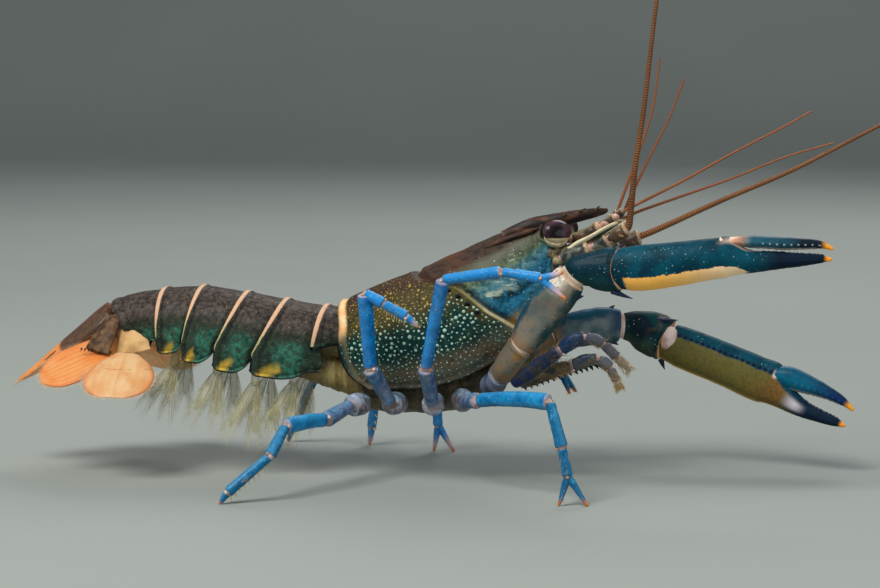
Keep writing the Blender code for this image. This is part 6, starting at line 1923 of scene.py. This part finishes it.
# Feelers: two long antennae on stout jointed stalks under a flat scale, and two pairs of short antennules.
# The whips are hundreds of tiny brown rings hinged together, and thin evenly to their tips.
# Antennules: joints of each base, then the points that its two whips pass
ANTENNULES = {
    "right": {
        "base": ((23.0, -1.7, 43.9), (26.0, -2.1, 44.6), (29.4, -2.5, 46.3), (32.0, -2.6, 48.0),
            (33.3, -2.5, 49.0)),
        "outer": ((33.3, -2.5, 49.0), (35.3, -2.4, 50.1), (43.9, -3.0, 54.6), (53.0, -4.0, 59.8),
            (61.8, -5.0, 64.5), (66.5, -5.4, 67.2)),
        "inner": ((33.9, -1.5, 48.0), (36.2, -1.4, 49.1), (43.8, -1.2, 51.9), (52.8, -1.0, 55.2),
            (61.7, -1.0, 58.9), (70.2, -1.0, 61.5)),
    },
    "left": {
        "base": ((23.0, 1.7, 43.9), (26.0, 2.1, 44.5), (29.0, 2.5, 46.0), (31.0, 2.6, 47.4),
            (31.9, 2.6, 48.5)),
        "outer": ((31.9, 2.6, 48.5), (32.4, 2.5, 50.0), (34.4, 2.3, 55.6), (37.0, 2.2, 63.0),
            (38.4, 2.2, 68.4), (39.4, 2.2, 76.3)),
        "inner": ((33.0, 3.6, 48.5), (34.0, 3.6, 51.0), (35.5, 3.5, 54.1), (38.0, 3.4, 59.3),
            (41.2, 3.2, 65.9), (43.7, 3.1, 72.6)),
    },
}
# Antennae: stations of the stalk, and the points that the long whip passes
ANTENNAE = {
    "right": {
        "stalk": (((22.4, -4.2, 40.3), 1.5, 1.5), ((24.2, -5.2, 41.2), 1.9, 1.8), ((28.0, -5.9, 42.7),
            1.8, 1.6), ((30.2, -6.1, 43.6), 1.5, 1.3), ((31.2, -6.2, 44.2), 1.3, 1.15), ((33.2, -6.4, 45.4),
            1.4, 1.35), ((34.5, -6.5, 46.2), 1.1, 1.1)),
        "whip": ((34.95, -6.6, 46.9), (35.3, -6.7, 50.0), (36.1, -7.0, 58.0), (37.4, -7.2, 66.9),
            (38.4, -7.3, 75.8), (39.6, -7.4, 86.4), (41.6, -7.6, 100.0), (44.8, -8.0, 114.0),
            (49.4, -8.6, 127.0)),
    },
    "left": {
        "stalk": (((22.4, 4.2, 39.9), 1.5, 1.5), ((24.4, 5.0, 40.6), 1.9, 1.8), ((28.4, 5.7, 41.6), 1.8, 1.6),
            ((30.8, 6.0, 42.3), 1.5, 1.3), ((31.8, 6.1, 42.6), 1.3, 1.15), ((34.0, 6.3, 43.4), 1.4, 1.35),
            ((35.5, 6.4, 43.9), 1.1, 1.1)),
        "whip": ((35.95, 6.45, 44.1), (39.5, 6.8, 45.6), (50.5, 8.0, 50.7), (63.2, 9.4, 56.3),
            (78.2, 11.2, 64.2), (90.0, 12.8, 70.0), (101.0, 14.6, 74.4), (113.0, 16.8, 77.6)),
    },
}
ANTENNA_SCALE = ((0, 0.9, 0.8), (0.2, 1.6, 0.8), (0.5, 1.8, 0.7), (0.75, 1.4, 0.6), (0.93, 0.7, 0.55),
                 (1, 0.3, 0.5))
STALK_CUTS = (0, 2, 4, 6)
ANTENNULE_CUTS = (0, 2, 3, 4)
# Radius at the root and at the tip, length of a ring, and rows of faces of each whip
ANTENNA_WHIP = (0.7, 0.22, 0.45, 1500)
ANTENNULE_WHIPS = {"outer": (0.36, 0.17, 0.4, 700), "inner": (0.34, 0.16, 0.4, 700)}
ANTENNULE_SIZES = (0.85, 1.0, 0.95, 0.8, 0.62)


def whip_tree():
    """A tube of rings along a path, thinning from its root to its tip."""
    tree = Tree("whip", {"Path": ("Geometry", None), "Root radius": ("Float", 0.0006),
                         "Tip radius": ("Float", 0.0002), "Ring length": ("Float", 0.0009),
                         "Ring depth": ("Float", 0.05), "Steps": ("Int", 400), "Paint": ("Material", None)})
    given = tree.given
    curve = tree.outputs("GeometryNodeMeshToCurve", None, {0: given["Path"]})[0]
    even = tree.node("ResampleCurve", Curve=curve, Count=given["Steps"])
    spline = tree.outputs("GeometryNodeSplineParameter")
    taper = tree.taper(tree.math("POWER", spline["Factor"], 0.5), given["Root radius"], given["Tip radius"])
    turns = tree.math("DIVIDE", spline["Length"], given["Ring length"])
    wave = tree.math("SINE", tree.math("MULTIPLY", turns, 2 * math.pi))
    radius = tree.math("MULTIPLY", taper, tree.math("MULTIPLY_ADD", wave, given["Ring depth"], 1.0))
    kept = tree.store(even, "rings", turns, "FLOAT")
    ring = tree.node("CurvePrimitiveCircle", Resolution=10, Radius=1.0)
    return tree.done(tree.node("CurveToMesh", Curve=kept, Profile_Curve=ring, Scale=radius, Fill_Caps=True))


WHIPS = whip_tree()


def make_whip(name, foot, points, root, tip, ring, steps, paint):
    """A whip that starts inside the last joint of its stalk, at the foot."""
    foot, first = np.array(foot, float), np.array(points[0], float)
    points = (foot, foot * 0.45 + first * 0.55, *points)
    rows = [(i, *point) for i, point in enumerate(points)]
    x, y, z = reading(rows, np.linspace(0, len(points) - 1, 90))
    line = (np.stack((x, y, z), -1) - MIDDLE) * MM
    data = bpy.data.meshes.new(name)
    data.from_pydata(line.tolist(), [(i, i + 1) for i in range(89)], [])
    piece = placed(name, data)
    return run_tree(WHIPS, piece, {"Root radius": root * MM, "Tip radius": tip * MM, "Ring length": ring * MM,
                                   "Steps": steps, "Paint": paint})


def whip_paint(name, brown, dark):
    paint = Paint(name)
    ring = (paint.mark("rings") * (2 * math.pi)).sine()
    cloud = paint.noise(9.0)
    paint.colour = cloud.blend(0.3, 0.7, brown, (140, 92, 52))
    paint.lay(1 - ring.step(-0.9, -0.2), dark)
    return paint.finish(0.4, Coat_Weight=0.2)


def stalk_colour(name, brown_from):
    paint = Paint(name)
    segment, share, top = paint.marks("segment", "share", "top")
    cloud = paint.noise(1.6)
    grain = paint.noise(0.5, 5)
    paint.colour = cloud.blend(0.4, 0.6, (104, 106, 92), (40, 52, 52))
    paint.lay(segment.step(brown_from - 0.2, brown_from) * 0.85,
              cloud.blend(0.4, 0.6, (58, 40, 30), (96, 70, 46)))
    paint.lay(grain.step(0.5, 0.72) * 0.5, (34, 30, 28))
    paint.lay(top.step(0.5, 0.95) * 0.5, (160, 148, 116))
    ends = (share + grain.sway(0.14)).near(1.0, 0.13)
    paint.lay(ends * 0.85, (206, 176, 138))
    paint.lay(paint.mark("soft"), cloud.blend(0.4, 0.6, (196, 150, 138), (150, 108, 86)))
    return paint.finish(0.34 + 0.15 * grain, paint.bump(grain, 0.04), Coat_Weight=0.3)


def jointed(name, stations, cuts):
    """Hard segments between cuts over a soft core that shows as skin at the joints."""
    shape = Shape(name)
    grid, _ = limb_grid([(point, wide * 0.88, high * 0.88) for point, wide, high in stations], UP, 70, 20)
    shape.tube(grid, soft=1.0)
    for number, (first, last) in enumerate(zip(cuts, cuts[1:])):
        grid, marks = limb_grid(trimmed(stations, first, last, (-0.06, -0.06)), UP, 40, 32, (0.3, 0.25))
        flare = stations[first][1] * 0.34 * (marks["share"] - 0.6) + 0.16 * bump_at(marks["share"] - 0.93,
                                                                                    0.06)
        uneven = 0.09 * ripple(grid, 1.3, 60 + number)
        shape.tube(grid, flare + uneven, segment=float(number), share=marks["share"], top=marks["top"])
    return shape


def scale_paint():
    paint = Paint("antenna_scale")
    side, share = paint.marks("side", "share")
    grain = paint.noise(0.6, 5)
    paint.colour = grain.blend(0.35, 0.7, (92, 116, 96), (64, 82, 70))
    paint.lay(abs(side).step(0.5, 0.7), (226, 216, 180))
    paint.lay(side.near(0.35, 0.12), (40, 50, 50))
    paint.lay(share.step(0.9, 0.98), (150, 84, 50))
    return paint.finish(0.35, paint.bump(grain, 0.04), Coat_Weight=0.3)


FEELER_SPINES = (10, 6, 0.08, 0.1, 1.3)
SCALE_FRINGE = (3, 3, 0.2, 0.15)


def make_feelers():
    draw = np.random.default_rng(61)
    hairs = Bed()
    brown = whip_paint("antenna_whip", (112, 70, 40), (62, 38, 26))
    pale = whip_paint("antennule_whip", (156, 88, 54), (104, 56, 36))
    shell, brown_shell = stalk_colour("antenna_stalk", 1.5), stalk_colour("antennule_stalk", 0.0)
    plate = scale_paint()
    spines = Bed()
    for word, side in (("right", -1), ("left", 1)):
        stations = ANTENNAE[word]["stalk"]
        fit(jointed(f"antenna_stalk_{word}", stations, STALK_CUTS).build(shell), "feeler",
            f"antenna_base_{word}")
        heel = np.array(stations[1][0]) + np.array((0.2, side * 0.6, 1.2))
        run, across = (0.86, side * 0.05, 0.5), (0.0, 1.0, 0.25 * side)
        for number, reach in ((1, 1.7), (2, 1.3), (5, 0.9)):
            joint, wide, _ = stations[number]
            lie = unit((0.9, side * 0.55, -0.1))
            spines.plant(np.array(joint) + (0.2, side * wide * 0.75, -0.2), lie, reach, 0.45)
        plant_bristles(hairs, stations[0][0], stations[-1][0], 1.3, 56, draw, 0.9)
        leaf = blade_surfaces(heel, run, across, 10.6, ANTENNA_SCALE, 0.1)
        fit(blade_shape(f"antenna_scale_{word}", leaf).build(plate), "feeler")
        fringe(hairs, leaf, blade_frame(run, across)[2], 0.35, 0.9, draw)
        whip = make_whip(f"antenna_{word}", stations[-2][0], ANTENNAE[word]["whip"], *ANTENNA_WHIP, brown)
        fit(whip, "feeler", f"antenna_{word}")
        joints = ANTENNULES[word]["base"]
        base = [(np.array(point), size, size) for point, size in zip(joints, ANTENNULE_SIZES)]
        fit(jointed(f"antennule_base_{word}", base, ANTENNULE_CUTS).build(brown_shell), "feeler",
            f"antennule_{word}")
        for kind, sizes in ANTENNULE_WHIPS.items():
            whip = make_whip(f"antennule_{kind}_{word}", joints[-2], ANTENNULES[word][kind], *sizes, pale)
            fit(whip, "feeler", *([f"antennule_inner_{word}"] if kind == "inner" else []))
    horn = plain_paint("feeler_spine", (150, 122, 86), (84, 62, 46), 0.4)
    fit(spines.grow("feeler_spines", horn, *FEELER_SPINES), "feeler")
    hair = plain_paint("scale_hair", (196, 176, 130), (160, 130, 90), 0.5)
    fit(hairs.grow("scale_fringe", hair, *SCALE_FRINGE), "feeler")


make_feelers()


# Where the model is shown: a pale table top that runs up into the backdrop behind it, under soft studio
# lights, seen a little from the front of its right side as in the photograph.
FLOOR_REACH = 5.0
TURN = math.radians(10)
TILT = math.radians(6)
DISTANCE = 0.45
AIM = Vector((-0.0161, 0.0006, 0.0335))
SENSOR = 36.0
LENS = 101.25


def backdrop_paint():
    paint = Paint("backdrop")
    haze = paint.noise(220.0, 3)
    paint.colour = paint.mix(haze, (134, 140, 136), (150, 155, 149))
    return paint.finish(0.85)


def make_backdrop():
    bend = [(1.1 + 0.5 * math.sin(a), 0.5 - 0.5 * math.cos(a)) for a in np.linspace(0, math.pi / 2, 13)]
    outline = [(-FLOOR_REACH, 0.0), (0.4, 0.0), *bend, (1.6, 1.8)]
    grid = [[(x, y, z) for x in np.linspace(-FLOOR_REACH * 2, FLOOR_REACH * 2, 9)] for y, z in outline]
    data = bpy.data.meshes.new("backdrop")
    points = np.array(grid).reshape(-1, 3)
    number = np.arange(len(points)).reshape(len(outline), 9)
    quads = np.stack((number[:-1, :-1], number[:-1, 1:], number[1:, 1:], number[1:, :-1]), -1).reshape(-1, 4)
    data.from_pydata(points.tolist(), [], quads.tolist())
    data.shade_smooth()
    data.materials.append(backdrop_paint())
    placed("backdrop", data)


def soft_light(name, place, size, power, colour):
    lamp = bpy.data.lights.new(name, "AREA")
    lamp.shape = "DISK"
    lamp.size = size
    lamp.energy = power
    lamp.color = colour
    holder = placed(name, lamp)
    holder.location = place
    holder.rotation_euler = (AIM - Vector(place)).to_track_quat("-Z", "Y").to_euler()


def make_camera():
    lens = bpy.data.cameras.new("camera")
    lens.lens = LENS
    lens.sensor_width = SENSOR
    lens.clip_start = 0.01
    holder = placed("camera", lens)
    back = Vector((math.sin(TURN) * math.cos(TILT), -math.cos(TURN) * math.cos(TILT), math.sin(TILT)))
    holder.location = AIM + back * DISTANCE
    holder.rotation_euler = back.to_track_quat("Z", "Y").to_euler()
    bpy.context.scene.camera = holder


make_backdrop()
soft_light("key", (-0.3, -0.5, 0.75), 0.45, 9.2, (1.0, 0.98, 0.95))
soft_light("fill", (0.8, -0.7, 0.3), 0.8, 3.0, (0.93, 0.97, 1.0))
soft_light("rim", (0.1, 0.6, 0.6), 0.5, 3.0, (1.0, 1.0, 1.0))
world = bpy.data.worlds.new("studio")
world.use_nodes = True
world.node_tree.nodes["Background"].inputs["Color"].default_value = (0.86, 0.92, 1.0, 1.0)
world.node_tree.nodes["Background"].inputs["Strength"].default_value = 0.33
bpy.context.scene.world = world
bpy.context.scene.view_settings.view_transform = "Standard"
make_camera()
